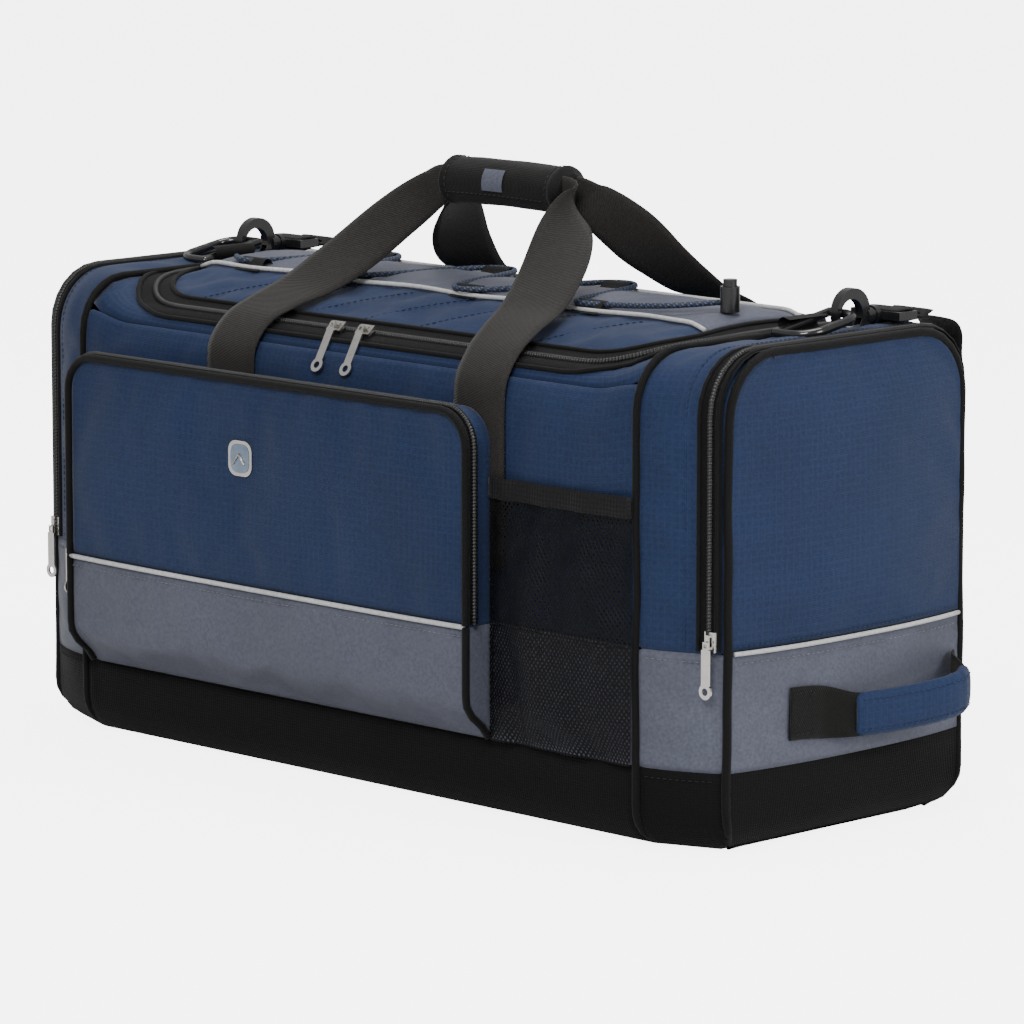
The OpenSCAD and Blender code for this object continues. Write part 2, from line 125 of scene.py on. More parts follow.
def ahead_at(path, i):
    """The direction of a path at one of its points."""
    before = Vector(path[max(0, i - 1)][:3])
    after = Vector(path[min(len(path) - 1, i + 1)][:3])
    return (after - before).normalized()


def placed(name, data):
    """A new object in the scene."""
    made = bpy.data.objects.new(name, data)
    bpy.context.scene.collection.objects.link(made)
    return made


# ---- materials ----

class Graph:
    """A small builder of shader node graphs."""

    def __init__(self, name):
        self.material = bpy.data.materials.new(name)
        self.material.use_nodes = True
        self.tree = self.material.node_tree
        self.shader = self.tree.nodes["Principled BSDF"]
        self.uv = self.node("ShaderNodeUVMap").outputs[0]
        self.place = self.node("ShaderNodeTexCoord").outputs["Object"]

    def node(self, kind):
        return self.tree.nodes.new(kind)

    def feed(self, socket, value):
        """Sets a socket, or links another node's output to it."""
        if isinstance(value, bpy.types.NodeSocket):
            self.tree.links.new(value, socket)
        else:
            socket.default_value = value

    def paint(self, name, value):
        """Sets or links an input of the surface shader."""
        self.feed(self.shader.inputs[name], value)

    def math(self, operation, a, b=0.0, c=0.0):
        made = self.node("ShaderNodeMath")
        made.operation = operation
        for socket, value in zip(made.inputs, (a, b, c)):
            self.feed(socket, value)
        return made.outputs[0]

    def split(self, vector):
        made = self.node("ShaderNodeSeparateXYZ")
        self.feed(made.inputs[0], vector)
        return made.outputs

    def noise(self, scale, detail=3.0, where=None):
        made = self.node("ShaderNodeTexNoise")
        self.feed(made.inputs["Vector"], self.place if where is None else where)
        made.inputs["Scale"].default_value = scale
        made.inputs["Detail"].default_value = detail
        return made.outputs["Fac"]

    def spread(self, value, low, high):
        """Maps 0.3 to 0.7, where most noise lies, to low to high."""
        made = self.node("ShaderNodeMapRange")
        made.inputs["From Min"].default_value = 0.3
        made.inputs["From Max"].default_value = 0.7
        made.inputs["To Min"].default_value = low
        made.inputs["To Max"].default_value = high
        self.feed(made.inputs["Value"], value)
        return made.outputs["Result"]

    def blend(self, factor, a, b):
        made = self.node("ShaderNodeMix")
        made.data_type = "RGBA"
        self.feed(made.inputs[0], factor)
        self.feed(made.inputs[6], a)
        self.feed(made.inputs[7], b)
        return made.outputs[2]

    def bump(self, height, depth, strength=1.0):
        made = self.node("ShaderNodeBump")
        made.inputs["Strength"].default_value = strength
        made.inputs["Distance"].default_value = depth
        self.feed(made.inputs["Height"], height)
        self.paint("Normal", made.outputs[0])

    def stripes(self, coordinate, pitch):
        """A sine wave of the given pitch in metres, from 0 to 1."""
        turns = self.math("MULTIPLY", coordinate, 2.0 * math.pi / pitch)
        return self.math("MULTIPLY_ADD", self.math("SINE", turns), 0.5, 0.5)


def tint(colour, factor):
    return tuple(min(1.0, c * factor) for c in colour) + (1.0,)


def weave(graph, pitch, twill=False):
    """A plain or diagonal weave's height, from 0 to 1, in cloth coordinates."""
    u, v = graph.split(graph.uv)[0:2]
    if twill:
        across = graph.stripes(graph.math("ADD", u, v), pitch)
        fine = graph.stripes(graph.math("SUBTRACT", u, v), pitch * 0.5)
        return graph.math("MULTIPLY_ADD", fine, 0.35, graph.math("MULTIPLY", across, 0.65))
    warp = graph.stripes(u, pitch)
    weft = graph.stripes(v, pitch)
    return graph.math("MULTIPLY", graph.math("ADD", warp, weft), 0.5)


def cloth(name, colour, pitch, rough, sheen, depth=0.0002, twill=False, grid=0.0, vary=0.12,
          crease=0.0006, shine=0.12):
    """Woven fabric: threads, slow changes of tone, painted shade in the weave's hollows, creases and wear.
    """
    graph = Graph(name)
    threads = weave(graph, pitch, twill)
    slow = graph.noise(9.0, 4.0)
    specks = graph.noise(420.0, 2.0)
    shade = graph.spread(slow, 1.0 - vary, 1.0 + vary)
    # painted shade: the colour darkens where the weave's threads lie low, as shade would fall in the
    # hollows
    shade = graph.math("MULTIPLY", shade, graph.math("MULTIPLY_ADD", threads, 0.34, 0.83))
    shade = graph.math("MULTIPLY", shade, graph.spread(specks, 0.86, 1.14))
    if grid:
        u, v = graph.split(graph.uv)[0:2]
        lines = graph.math("MAXIMUM", graph.stripes(u, grid), graph.stripes(v, grid))
        shade = graph.math("MULTIPLY_ADD", graph.math("POWER", lines, 6.0), 0.16, shade)
    amount = graph.math("MULTIPLY", shade, 0.5)
    tone = graph.blend(amount, tint(colour, 0.0), tint(colour, 2.0))
    graph.paint("Base Color", tone)
    graph.paint("Roughness", graph.spread(slow, rough - 0.06, rough + 0.08))
    graph.paint("Sheen Weight", sheen * 0.22)
    graph.paint("Sheen Roughness", 0.45)
    graph.paint("Specular IOR Level", shine)
    folds = graph.math("MULTIPLY", graph.noise(38.0, 3.0), crease / depth)
    graph.bump(graph.math("ADD", threads, folds), depth, 0.9)
    return graph.material


def plastic(name, colour, rough, metal=0.0, coat=0.0):
    """Moulded plastic or plated metal with faint handling marks."""
    graph = Graph(name)
    marks = graph.noise(160.0, 4.0)
    tone = graph.blend(graph.spread(marks, 0.0, 1.0), tint(colour, 0.9), tint(colour, 1.1))
    graph.paint("Base Color", tone)
    graph.paint("Roughness", graph.spread(marks, rough * 0.8, rough * 1.3))
    graph.paint("Metallic", metal)
    graph.paint("Coat Weight", coat)
    graph.paint("Coat Roughness", 0.1)
    graph.bump(marks, 0.00004, 0.5)
    return graph.material


NAVY = (0.0125, 0.0240, 0.0640)
GREY = (0.088, 0.094, 0.125)
BLACK = (0.0036, 0.0034, 0.0035)
navy = cloth("navy_ripstop", NAVY, 0.0012, 0.56, 0.5, grid=0.0052)
grey = cloth("grey_nylon", GREY, 0.0009, 0.40, 0.35, vary=0.06, crease=0.0009)
base_cloth = cloth("base_polyester", BLACK, 0.0022, 0.7, 0.15, 0.0004)
lining = cloth("black_lining", (0.006, 0.006, 0.0065), 0.0012, 0.7, 0.1)
twill = cloth("charcoal_webbing", (0.0230, 0.0210, 0.0190), 0.0019, 0.66, 0.5, 0.0004, True)
black_webbing = cloth("black_webbing", (0.0068, 0.0064, 0.0060), 0.0022, 0.6, 0.3, 0.0004, True)
wrap_cloth = cloth("wrap_polyester", (0.0080, 0.0072, 0.0068), 0.0014, 0.66, 0.45, 0.0003)
piping = cloth("black_piping", (0.0034, 0.0034, 0.0036), 0.0016, 0.55, 0.25, 0.0003, True)
tape = cloth("zipper_tape", (0.0034, 0.0034, 0.0036), 0.0018, 0.6, 0.2, 0.0003, True)
elastic = cloth("elastic_binding", (0.0085, 0.0085, 0.0095), 0.0030, 0.55, 0.3, 0.0005)
reflective = cloth("reflective_cord", (0.80, 0.81, 0.82), 0.0015, 0.35, 0.1, 0.0002, True)
thread_blue = cloth("blue_thread", (0.020, 0.034, 0.085), 0.0010, 0.5, 0.2, 0.0001)
thread_pale = cloth("grey_thread", (0.160, 0.165, 0.185), 0.0010, 0.5, 0.2, 0.0001)
thread_dim = cloth("dim_thread", (0.030, 0.030, 0.033), 0.0010, 0.5, 0.2, 0.0001)
thread_black = cloth("black_thread", (0.016, 0.016, 0.017), 0.0010, 0.5, 0.2, 0.0001)
nickel = plastic("nickel", (0.66, 0.64, 0.61), 0.20, 1.0)
gloss_black = plastic("black_acetal", (0.011, 0.011, 0.012), 0.22, 0.0, 0.4)
enamel = plastic("blue_grey_enamel", (0.14, 0.19, 0.26), 0.18, 0.0, 0.6)
board = plastic("grey_board", (0.10, 0.09, 0.08), 0.7)


def cord_material():
    """Black braid with blue flecks."""
    graph = Graph("shock_cord")
    u, v = graph.split(graph.uv)[0:2]
    wave = graph.stripes(graph.math("ADD", u, graph.math("MULTIPLY", v, 1.0)), 0.0052)
    other = graph.stripes(graph.math("SUBTRACT", u, v), 0.0031)
    fleck = graph.math("GREATER_THAN", graph.math("MULTIPLY", wave, other), 0.52)
    tone = graph.blend(fleck, (0.012, 0.013, 0.016, 1.0), (0.035, 0.085, 0.26, 1.0))
    graph.paint("Base Color", tone)
    graph.paint("Roughness", 0.6)
    graph.paint("Sheen Weight", 0.05)
    graph.bump(graph.math("ADD", wave, other), 0.0003, 0.8)
    return graph.material


def mesh_material():
    """Open diamond netting: black threads with clear holes between them."""
    graph = Graph("diamond_mesh")
    u, v = graph.split(graph.uv)[0:2]
    stretch = graph.math("MULTIPLY", v, 0.72)
    one = graph.stripes(graph.math("ADD", u, stretch), 0.0034)
    two = graph.stripes(graph.math("SUBTRACT", u, stretch), 0.0034)
    strand = graph.math("MAXIMUM", one, two)
    solid = graph.math("GREATER_THAN", strand, 0.55)
    graph.paint("Alpha", solid)
    worn = graph.spread(graph.noise(14.0), 0.0, 1.0)
    tone = graph.blend(worn, (0.0030, 0.0030, 0.0033, 1.0), (0.0060, 0.0058, 0.0058, 1.0))
    graph.paint("Base Color", tone)
    graph.paint("Roughness", 0.5)
    graph.paint("Specular IOR Level", 0.12)
    graph.bump(strand, 0.0004, 0.8)
    return graph.material


def teeth_material():
    """The coil of a closed zipper: a fine row of ridges across a dark tape, with painted highlight on the
    ridges and painted shade between them.
    """
    graph = Graph("zipper_coil")
    v = graph.split(graph.uv)[1]
    ridge = graph.stripes(v, 0.0024)
    # painted highlight and shade: the coil's colour follows ridge height, light on the crests and dark in
    # the grooves
    tone = graph.blend(ridge, (0.002, 0.002, 0.002, 1.0), (0.018, 0.018, 0.019, 1.0))
    graph.paint("Base Color", tone)
    graph.paint("Roughness", 0.38)
    graph.bump(ridge, 0.0006, 1.0)
    return graph.material


cord_braid = cord_material()
netting = mesh_material()
coil = teeth_material()


# ---- mesh helpers ----

waiting = []
folding = []
soft = []


def distances(points):
    """Running length in metres along a list of points in millimetres."""
    total = [0.0]
    for a, b in zip(points, points[1:]):
        total.append(total[-1] + (point(*b) - point(*a)).length)
    return total


def surface(name, rows, material, closed=False):
    """A quad mesh through rows of points in millimetres, with UVs in metres of cloth."""
    count = len(rows[0])
    across_count = count if closed else count - 1
    mesh = bpy.data.meshes.new(name)
    faces = []
    for i in range(len(rows) - 1):
        for j in range(across_count):
            k = (j + 1) % count
            faces.append((i * count + j, i * count + k, (i + 1) * count + k, (i + 1) * count + j))
    mesh.from_pydata([point(*p) for row in rows for p in row], [], faces)
    middle = rows[len(rows) // 2]
    across = distances(list(middle) + [middle[0]])
    along = distances([row[count // 2] for row in rows])
    layer = mesh.uv_layers.new(name="UVMap")
    for face in mesh.polygons:
        i, j = divmod(face.index, across_count)
        spots = ((i, j), (i, j + 1), (i + 1, j + 1), (i + 1, j))
        for loop, (a, b) in zip(face.loop_indices, spots):
            layer.data[loop].uv = (across[b], along[a])
    mesh.materials.append(material)
    mesh.shade_smooth()
    return placed(name, mesh)


def faces_out(obj, centre):
    """Turns the whole surface so that it faces away from a centre in millimetres."""
    mid = point(*centre)
    total = sum((f.center - mid).dot(f.normal) * f.area for f in obj.data.polygons)
    if total < 0:
        obj.data.flip_normals()
    return obj


def closed_up(obj):
    """Fills the ends of a tube or ribbon and makes all its faces point outward."""
    shape = bmesh.new()
    shape.from_mesh(obj.data)
    bmesh.ops.holes_fill(shape, edges=shape.edges[:], sides=64)
    bmesh.ops.recalc_face_normals(shape, faces=shape.faces[:])
    shape.to_mesh(obj.data)
    shape.free()
    obj.data.shade_smooth()
    return obj


def smooth_path(knots, steps):
    """A Catmull-Rom curve through tuples of any length."""
    out = []
    ends = [knots[0]] + list(knots) + [knots[-1]]
    for a, b, c, d in zip(ends, ends[1:], ends[2:], ends[3:]):
        for k in range(steps):
            t = k / steps
            spot = []
            for p, q, r, s in zip(a, b, c, d):
                curve = 2 * q + (r - p) * t + (2 * p - 5 * q + 4 * r - s) * t * t
                spot.append(0.5 * (curve + (3 * q - p - 3 * r + s) * t ** 3))
            out.append(tuple(spot))
    out.append(tuple(knots[-1]))
    return out


def tube(name, path, radius, material, sides=10, loop=False, radii=None):
    """A round cord along a path in millimetres."""
    spots = [Vector(p[:3]) for p in path]
    if loop:
        spots = spots + [spots[0]]
    rows = []
    side = None
    for i, spot in enumerate(spots):
        before = spots[i - 1] if i else (spots[-2] if loop else spots[0])
        after = spots[i + 1] if i + 1 < len(spots) else (spots[1] if loop else spots[-1])
        ahead = (after - before).normalized()
        if side is None:
            side = ahead.orthogonal().normalized()
        side = (side - ahead * side.dot(ahead)).normalized()
        other = ahead.cross(side)
        size = radii[i] if radii else radius
        ring = []
        for c, v in around(sides):
            ring.append(tuple(spot + size * (side * c + other * v)))
        rows.append(ring)
    made = surface(name, rows, material, True)
    return made if loop else closed_up(made)


def ribbon(name, stations, thick, material):
    """Flat webbing through stations (x, y, z, across x, across y, across z, width)."""
    rows = []
    for i, station in enumerate(stations):
        spot = Vector(station[:3])
        ahead = ahead_at(stations, i)
        side = Vector(station[3:6])
        side = (side - ahead * side.dot(ahead)).normalized()
        up = ahead.cross(side)
        half = station[6] / 2
        ring = []
        for face in (1, -1):
            for k in range(9):
                t = face * (-1 + k / 4)
                swell = thick / 2 * (1 - 0.5 * abs(t) ** 6)
                ring.append(tuple(spot + side * half * t + up * (face * swell)))
        rows.append(ring)
    return closed_up(surface(name, rows, material, True))


def on_body(obj, body, finish_slot, *nodes):
    """The piece rides a body and stands for CAD nodes; finish_slot is not used."""
    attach(obj, body)
    if nodes:
        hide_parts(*nodes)
    return obj


def sewn(obj, body, finish_slot, *nodes):
    """Cloth and stitches of a flap are listed for fold_flaps and ride no body; all others ride their body.
    """
    if not body.endswith("_flap"):
        return on_body(obj, body, finish_slot, *nodes)
    if nodes:
        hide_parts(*nodes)
    folding.append((obj, body))
    return obj


def cord(name, path, radius, material, body, finish_slot, *nodes, sides=8, loop=False):
    """A round cord that rides a body."""
    return on_body(tube(name, path, radius, material, sides, loop), body, finish_slot, *nodes)


def strip(name, rows, material, body, finish_slot, *nodes, thick=1.0, centre=BAG):
    """A piece of cloth that faces away from a centre, rides a body and is thickened later."""
    made = faces_out(surface(name, rows, material), centre)
    soft.append((made, thick))
    return on_body(made, body, finish_slot, *nodes)


def shifted(path, x=0.0, y=0.0):
    return [(px + x, py + y, pz) for px, py, pz in path]


def subdivide(obj):
    fine = obj.modifiers.new("fine", "SUBSURF")
    fine.levels = 1
    fine.render_levels = 1


def thicken(obj, thick, inner=None):
    """Gives a panel its thickness inward, with the lining on the inner side."""
    if inner is not None:
        obj.data.materials.append(inner)
    shell = obj.modifiers.new("thickness", "SOLIDIFY")
    shell.thickness = thick / 1000.0
    shell.offset = -1.0
    if inner is not None:
        shell.material_offset = 1
    return obj


def stitches(name, path, material, body, finish_slot, length=3.2, gap=1.5, radius=0.42):
    """A row of raised stitches along a path in millimetres, as one mesh."""
    spots = [Vector(p) for p in path]
    lengths = [0.0]
    for a, b in zip(spots, spots[1:]):
        lengths.append(lengths[-1] + (b - a).length)
    rows = []
    faces = []
    at = gap
    index = 0
    while at + length < lengths[-1]:
        ends = []
        for want in (at, at + length):
            while index < len(lengths) - 2 and lengths[index + 1] < want:
                index += 1
            span = max(1e-6, lengths[index + 1] - lengths[index])
            ends.append(spots[index].lerp(spots[index + 1], (want - lengths[index]) / span))
        ahead = (ends[1] - ends[0]).normalized()
        side = ahead.orthogonal().normalized()
        other = ahead.cross(side)
        first = len(rows)
        for part, size in ((0.0, 0.3), (0.25, 1.0), (0.75, 1.0), (1.0, 0.3)):
            centre = ends[0].lerp(ends[1], part)
            for c, v in around(5):
                rows.append(point(*(centre + (side * c + other * v) * radius * size)))
        for ring in range(3):
            for k in range(5):
                a = first + ring * 5 + k
                b = first + ring * 5 + (k + 1) % 5
                faces.append((a, b, b + 5, a + 5))
        at += length + gap
    mesh = bpy.data.meshes.new(name)
    mesh.from_pydata(rows, [], faces)
    mesh.uv_layers.new(name="UVMap")
    mesh.materials.append(material)
    mesh.shade_smooth()
    return sewn(placed(name, mesh), body, finish_slot)


# ---- cloth simulation of sewn panels ----


def slacken(obj, slack, push=0.5, cap=5.0, free=None):
    """Queues a sewn panel: its border stays on the seam and the extra cloth puckers."""
    group = obj.vertex_groups.new(name="seam")
    uses = {}
    for face in obj.data.polygons:
        for edge in face.edge_keys:
            uses[edge] = uses.get(edge, 0) + 1
    border = {v for edge, n in uses.items() if n == 1 for v in edge}
    for vertex in obj.data.vertices:
        held = vertex.index in border
        if free is not None and not free(vertex.co * 1000.0):
            held = True
        group.add([vertex.index], 1.0 if held else 0.0, "REPLACE")
    waiting.append((obj, slack, push, cap))
    return obj


def settle(frames=16):
    """Runs the cloth simulation of every queued panel, then keeps the settled shape."""
    scene = bpy.context.scene
    for obj, slack, push, cap in waiting:
        for vertex in obj.data.vertices:
            wobble = noise.noise(vertex.co * 70.0) * 0.0006
            weight = 1.0 - vertex.groups[0].weight
            vertex.co += vertex.normal * wobble * weight
        cloth_sim = obj.modifiers.new("cloth", "CLOTH")
        settings = cloth_sim.settings
        settings.quality = 5
        settings.mass = 0.15
        settings.tension_stiffness = 30.0
        settings.compression_stiffness = 30.0
        settings.shear_stiffness = 8.0
        settings.bending_stiffness = 0.35
        settings.vertex_group_mass = "seam"
        settings.shrink_min = -slack
        settings.shrink_max = -slack
        settings.use_pressure = True
        settings.uniform_pressure_force = push
        settings.effector_weights.gravity = 0.0
        cloth_sim.point_cache.frame_end = frames
    for number in range(1, frames + 1):
        scene.frame_set(number)
    graph = bpy.context.evaluated_depsgraph_get()
    for obj, slack, push, cap in waiting:
        moved = obj.evaluated_get(graph).data
        places = [v.co.copy() for v in moved.vertices]
        obj.modifiers.remove(obj.modifiers["cloth"])
        for vertex, place in zip(obj.data.vertices, places):
            shift = place - vertex.co
            limit = cap / 1000.0
            if shift.length > limit:
                shift = shift * (limit / shift.length)
            vertex.co += shift
        subdivide(obj)
    waiting.clear()
    scene.frame_set(1)


# ---- the soft shell ----

def half_depth(x):
    return mix(HALF_DEPTH, HALF_END, max(0.0, abs(x) - MAIN_HALF) / (END_X - MAIN_HALF))


def top_line(x):
    return mix(MAIN_TOP, END_TOP, ease((abs(x) - 245.0) / 44.0))


def belly(x, z):
    """How far the cloth stands out between its seams."""
    if abs(x) > MAIN_HALF:
        t = (abs(x) - MAIN_HALF) / 62.0
        return 4.5 * math.sin(math.pi * min(1.0, t)) * ease(z / 60.0)
    return 2.0 * ease((MAIN_HALF - abs(x)) / 30.0) * ease(z / 60.0)


def wall_point(x, side, z):
    """A point on the front (-1) or rear (1) wall, below the shoulder."""
    y = half_depth(x)
    if z < FOOT:
        y = y - FOOT + math.sqrt(FOOT * FOOT - (FOOT - z) ** 2)
    lift = 3.0 if z < 1.0 else 0.0
    return (x, side * (y + belly(x, z)), z + lift)


def shoulder_point(x, side, angle):
    """A point on the shoulder; 0 is level with the wall and 90 is the flat top."""
    turn = math.radians(angle)
    y = half_depth(x) - SHOULDER + (SHOULDER + belly(x, 200)) * math.cos(turn)
    z = top_line(x) - SHOULDER + (SHOULDER + belly(x, 200)) * math.sin(turn)
    return (x, side * y, z)


def top_height(x, y):
    """Height of the top cloth at a plan position, crowned where the lid is."""
    inner = half_depth(x) - SHOULDER
    away = abs(y)
    flat = top_line(x)
    if away > inner:
        flat = flat - SHOULDER + math.sqrt(max(0.0, SHOULDER ** 2 - (away - inner) ** 2))
    crown = CROWN_Z + math.sqrt(CROWN_R ** 2 - min(away, 130.0) ** 2)
    crown = mix(crown, flat, ease((abs(x) - 245.0) / 44.0))
    return mix(crown, flat, ease((away - 116.0) / 20.0))


def tuck(z):
    """How far the end of the bag rolls in towards its underside."""
    low = 24.0 - min(24.0, max(0.0, z))
    return 24.0 - math.sqrt(24.0 ** 2 - low ** 2)


def tucked(x, y, z):
    limit = 351.5 - tuck(z)
    return (math.copysign(min(abs(x), limit), x), y, z)


def wall_column(x, side, low, high, parts=18):
    return [wall_point(x, side, z) for z in evenly(low, high, parts)]


def hoop(x, low):
    """Front wall, over the top and down the rear wall, above a height."""
    column = wall_column(x, -1, low, top_line(x) - SHOULDER)[:-1]
    column += [shoulder_point(x, -1, angle) for angle in range(0, 90, 15)]
    inner = half_depth(x) - SHOULDER
    lift = belly(x, 200)
    column += [(x, y, top_line(x) + lift) for y in evenly(-inner, inner, 14)]
    column += [shoulder_point(x, 1, angle) for angle in range(75, -1, -15)]
    return column + wall_column(x, 1, top_line(x) - SHOULDER, low)[1:]


def cradle(x):
    """Front base edge, under the bag and up to the rear base edge."""
    levels = (BASE_TOP, 50.0, 42.0, 34.0, 26.0, 18.0, 11.0, 6.0, 3.0, 1.2, 0.0)
    front = [wall_point(x, -1, z) for z in levels]
    rear = [wall_point(x, 1, z) for z in reversed(levels)]
    inner = half_depth(x) - FOOT
    under = [(x, y, 3.0) for y in evenly(-inner, inner, 12)[1:-1]]
    return [tucked(*spot) for spot in front + under + rear]


def panel(name, rows, material, body, finish_slot, nodes=(), slack=0.0, push=0.5, cap=5.0, free=None):
    """A panel of the bag; with slack, its cloth puckers between its seams."""
    made = faces_out(surface(name, rows, material), BAG)
    if slack:
        slacken(made, slack, push, cap, free)
    soft.append((made, PANEL_THICK))
    return sewn(made, body, finish_slot, *nodes)


def keep_shape(obj):
    """Applies the modifiers, so that the mesh is final."""
    graph = bpy.context.evaluated_depsgraph_get()
    mesh = bpy.data.meshes.new_from_object(obj.evaluated_get(graph))
    obj.modifiers.clear()
    obj.data = mesh


def fold_flaps():
    """Makes each flap piece's modifiers and placement final in its mesh."""
    for obj, body in folding:
        keep_shape(obj)
        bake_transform(obj)


def make_shell():
    stations = spaced(-MAIN_HALF, MAIN_HALF, 10.0)
    for side, name in FACES:
        rows = []
        for x in stations:
            column = wall_column(x, side, BAND_TOP, top_line(x) - SHOULDER)
            column += [shoulder_point(x, side, angle) for angle in (10, 20, 30)]
            rows.append(column)
        panel(name + "_cloth", rows, navy, "shell", "navy_fabric", (name + "_panel",), 0.006, 0.3, 3.0,
              free=lambda p: min(abs(p.x - LEG_LEFT), abs(p.x - LEG_RIGHT)) > 33.0)
        low_band(name + "_band", stations, side, "side_bands", 0.006)
    rows = [cradle(x) for x in stations]
    panel("base_cloth", rows, base_cloth, "shell", "base_fabric", ("base_panel",))
    for side, name in SIDES:
        along = [side * x for x in spaced(MAIN_HALF, 351.0, 7.8)]
        rows = [hoop(x, BAND_TOP) for x in along]
        panel(name + "_side", rows, navy, "shell", "navy_fabric", (name + "_gusset",), 0.014, 0.3, 3.0,
              free=lambda p: abs(p.x) < 322.0)
        for face, label in FACES:
            low_band(name + "_" + label + "_low", along, face, "gusset_bands", 0.010)
        rows = [cradle(x) for x in along]
        panel(name + "_base_side", rows, base_cloth, "shell", "base_fabric")


def low_band(name, stations, side, node, slack):
    """The grey cloth between the base and the navy cloth, on one wall."""
    rows = [wall_column(x, side, BASE_TOP, BAND_TOP, 10) for x in stations]
    panel(name, rows, grey, "shell", "grey_fabric", (node,), slack, 0.3, 3.0)


def end_half(z):
    """Half width of an end panel at a height."""
    if z > END_TOP - END_CORNER:
        rise = z - (END_TOP - END_CORNER)
        return HALF_END - END_CORNER + math.sqrt(max(0.0, END_CORNER ** 2 - rise ** 2))
    if z < FOOT:
        return HALF_END - FOOT + math.sqrt(max(0.0, FOOT ** 2 - (FOOT - z) ** 2))
    return HALF_END


def end_point(side, share, z):
    """A point on the bulging end panel; share runs from -1 at the front to 1 at the rear."""
    y = share * (end_half(z) - 1.0)
    swell = (1.0 - abs(share) ** 2.6) * ease((END_TOP + 3.0 - z) / 60.0) * ease((z + 8.0) / 70.0)
    return (side * (352.0 - tuck(z) + 10.0 * swell), y, z)


def end_rows(side, levels):
    shares = [math.sin(math.pi / 2 * t) for t in spaced(-1.0, 1.0, 0.08)]
    return [[end_point(side, share, z) for share in shares] for z in levels]


def make_ends():
    shoulder = END_TOP - END_CORNER
    high = [shoulder + END_CORNER * math.sin(math.radians(a)) for a in range(8, 86, 8)]
    for side, name in SIDES:
        levels = spaced(BAND_TOP + 2.0, shoulder, 9.0) + high + [END_TOP - 0.6]
        panel(name + "_end_cloth", end_rows(side, levels), navy, name + "_flap", "navy_fabric",
              (name + "_end_flap",), 0.006, 0.6, 5.0)
        levels = spaced(BASE_TOP, BAND_TOP, 8.3)
        panel(name + "_end_low", end_rows(side, levels), grey, "shell", "grey_fabric",
              (name + "_end_band",), 0.009, 0.3, 3.0, free=clear_of_tabs)
        levels = [3.0, 6.0, 10.0, 15.0, 20.0, 26.0, 34.0, 42.0, 50.0, BASE_TOP]
        panel(name + "_end_base", end_rows(side, levels), base_cloth, "shell", "base_fabric")
        path = end_line(side, BAND_TOP, 0.985, 1.2)
        cord(name + "_end_line", path, 1.7, reflective, "shell", "piping", sides=10)
        path = end_line(side, BAND_TOP - 7.0, 0.97, 1.3)
        stitches(name + "_low_stitch", path, thread_pale, "shell", "piping")
        path = end_line(side, BAND_TOP + 5.0, 0.97, 1.3)
        stitches(name + "_top_stitch", path, thread_blue, name + "_flap", "piping")


def end_line(side, z, reach, lift):
    """A level line across an end panel, lifted off its cloth."""
    return shifted([end_point(side, s, z) for s in spaced(-reach, reach, 0.05)], side * lift)


def lid_outline(step=12.0, inset=0.0):
    """The lid's plan outline, going round from the middle of its right end."""
    corner = LID_CORNER - inset
    x0 = LID_X - LID_CORNER
    y_front = LID_FRONT + LID_CORNER
    y_rear = LID_REAR - LID_CORNER
    out = []
    turns = ((x0, y_rear, 0), (-x0, y_rear, 90), (-x0, y_front, 180), (x0, y_front, 270))
    for (x, y, start), (next_x, next_y, _) in zip(turns, turns[1:] + turns[:1]):
        out += arc(x, y, corner, range(start, start + 90, 9))
        last = arc(x, y, corner, [start + 90])[0]
        follow = arc(next_x, next_y, corner, [start + 90])[0]
        span = math.hypot(follow[0] - last[0], follow[1] - last[1])
        count = max(1, round(span / step))
        for t in [k / count for k in range(count)]:
            out.append((mix(last[0], follow[0], t), mix(last[1], follow[1], t)))
    return out


def frame_edge(x, y):
    """The matching point on the outer edge of the top frame for a lid outline point."""
    x0 = LID_X - LID_CORNER
    corner_y = LID_REAR - LID_CORNER if y > 0 else -(LID_FRONT + LID_CORNER)
    edge = 139.6
    sx = 1 if x > 0 else -1
    sy = 1 if y > 0 else -1
    if abs(x) <= x0:
        return (x, sy * edge)
    if abs(y) <= corner_y:
        return (sx * MAIN_HALF, y)
    turn = math.atan2(abs(y) - corner_y, abs(x) - x0) / (math.pi / 2)
    up = edge - corner_y
    over = MAIN_HALF - x0
    walk = turn * (up + over)
    if walk < up:
        return (sx * MAIN_HALF, sy * (corner_y + walk))
    return (sx * (MAIN_HALF - (walk - up)), sy * edge)


def raised(x, y, lift=0.0):
    return (x, y, top_height(x, y) + lift)


def make_top():
    outline = lid_outline()
    rows = []
    for k in range(5):
        ring = []
        for x, y in outline + outline[:1]:
            ox, oy = frame_edge(x, y)
            ring.append(raised(mix(x, ox, k / 4), mix(y, oy, k / 4)))
        rows.append(ring)
    panel("top_cloth", rows, navy, "shell", "navy_fabric", ("top_frame",))
    bands = ((-13.0, 0.0, "lid_tape_outer", "shell"), (1.2, 13.0, "lid_tape_inner", "lid"))
    for near, far, name, body in bands:
        rows = []
        for inset in spaced(near, far, 3.0):
            rows.append([raised(x, y, 1.0) for x, y in closed_outline(inset)])
        strip(name, rows, tape, body, "zipper_tape", "lid_zipper_tape")
        edge = lid_outline(12.0, far if body == "lid" else near)
        cord(name + "_edge", [raised(x, y, 1.4) for x, y in edge], 1.9, piping, body, "piping", loop=True)
    ring = [raised(x, y, 1.3) for x, y in lid_outline(12.0, 0.0)]
    cord("lid_coil", ring, 2.5, coil, "shell", "zipper_tape", loop=True)


def closed_outline(inset):
    """The lid's outline with its first point again at the end."""
    outline = lid_outline(12.0, inset)
    return outline + outline[:1]


def quilt_lines():
    """Diagonal quilting on both navy parts of the lid, in plan."""
    lines = []
    for x in (-170.0, -112.0, -54.0, 4.0, 62.0, 120.0, 178.0):
        lines.append(((x + 30.0, -54.0), (x - 32.0, -106.0)))
        lines.append(((x - 30.0, 54.0), (x + 32.0, 103.0)))
    return lines


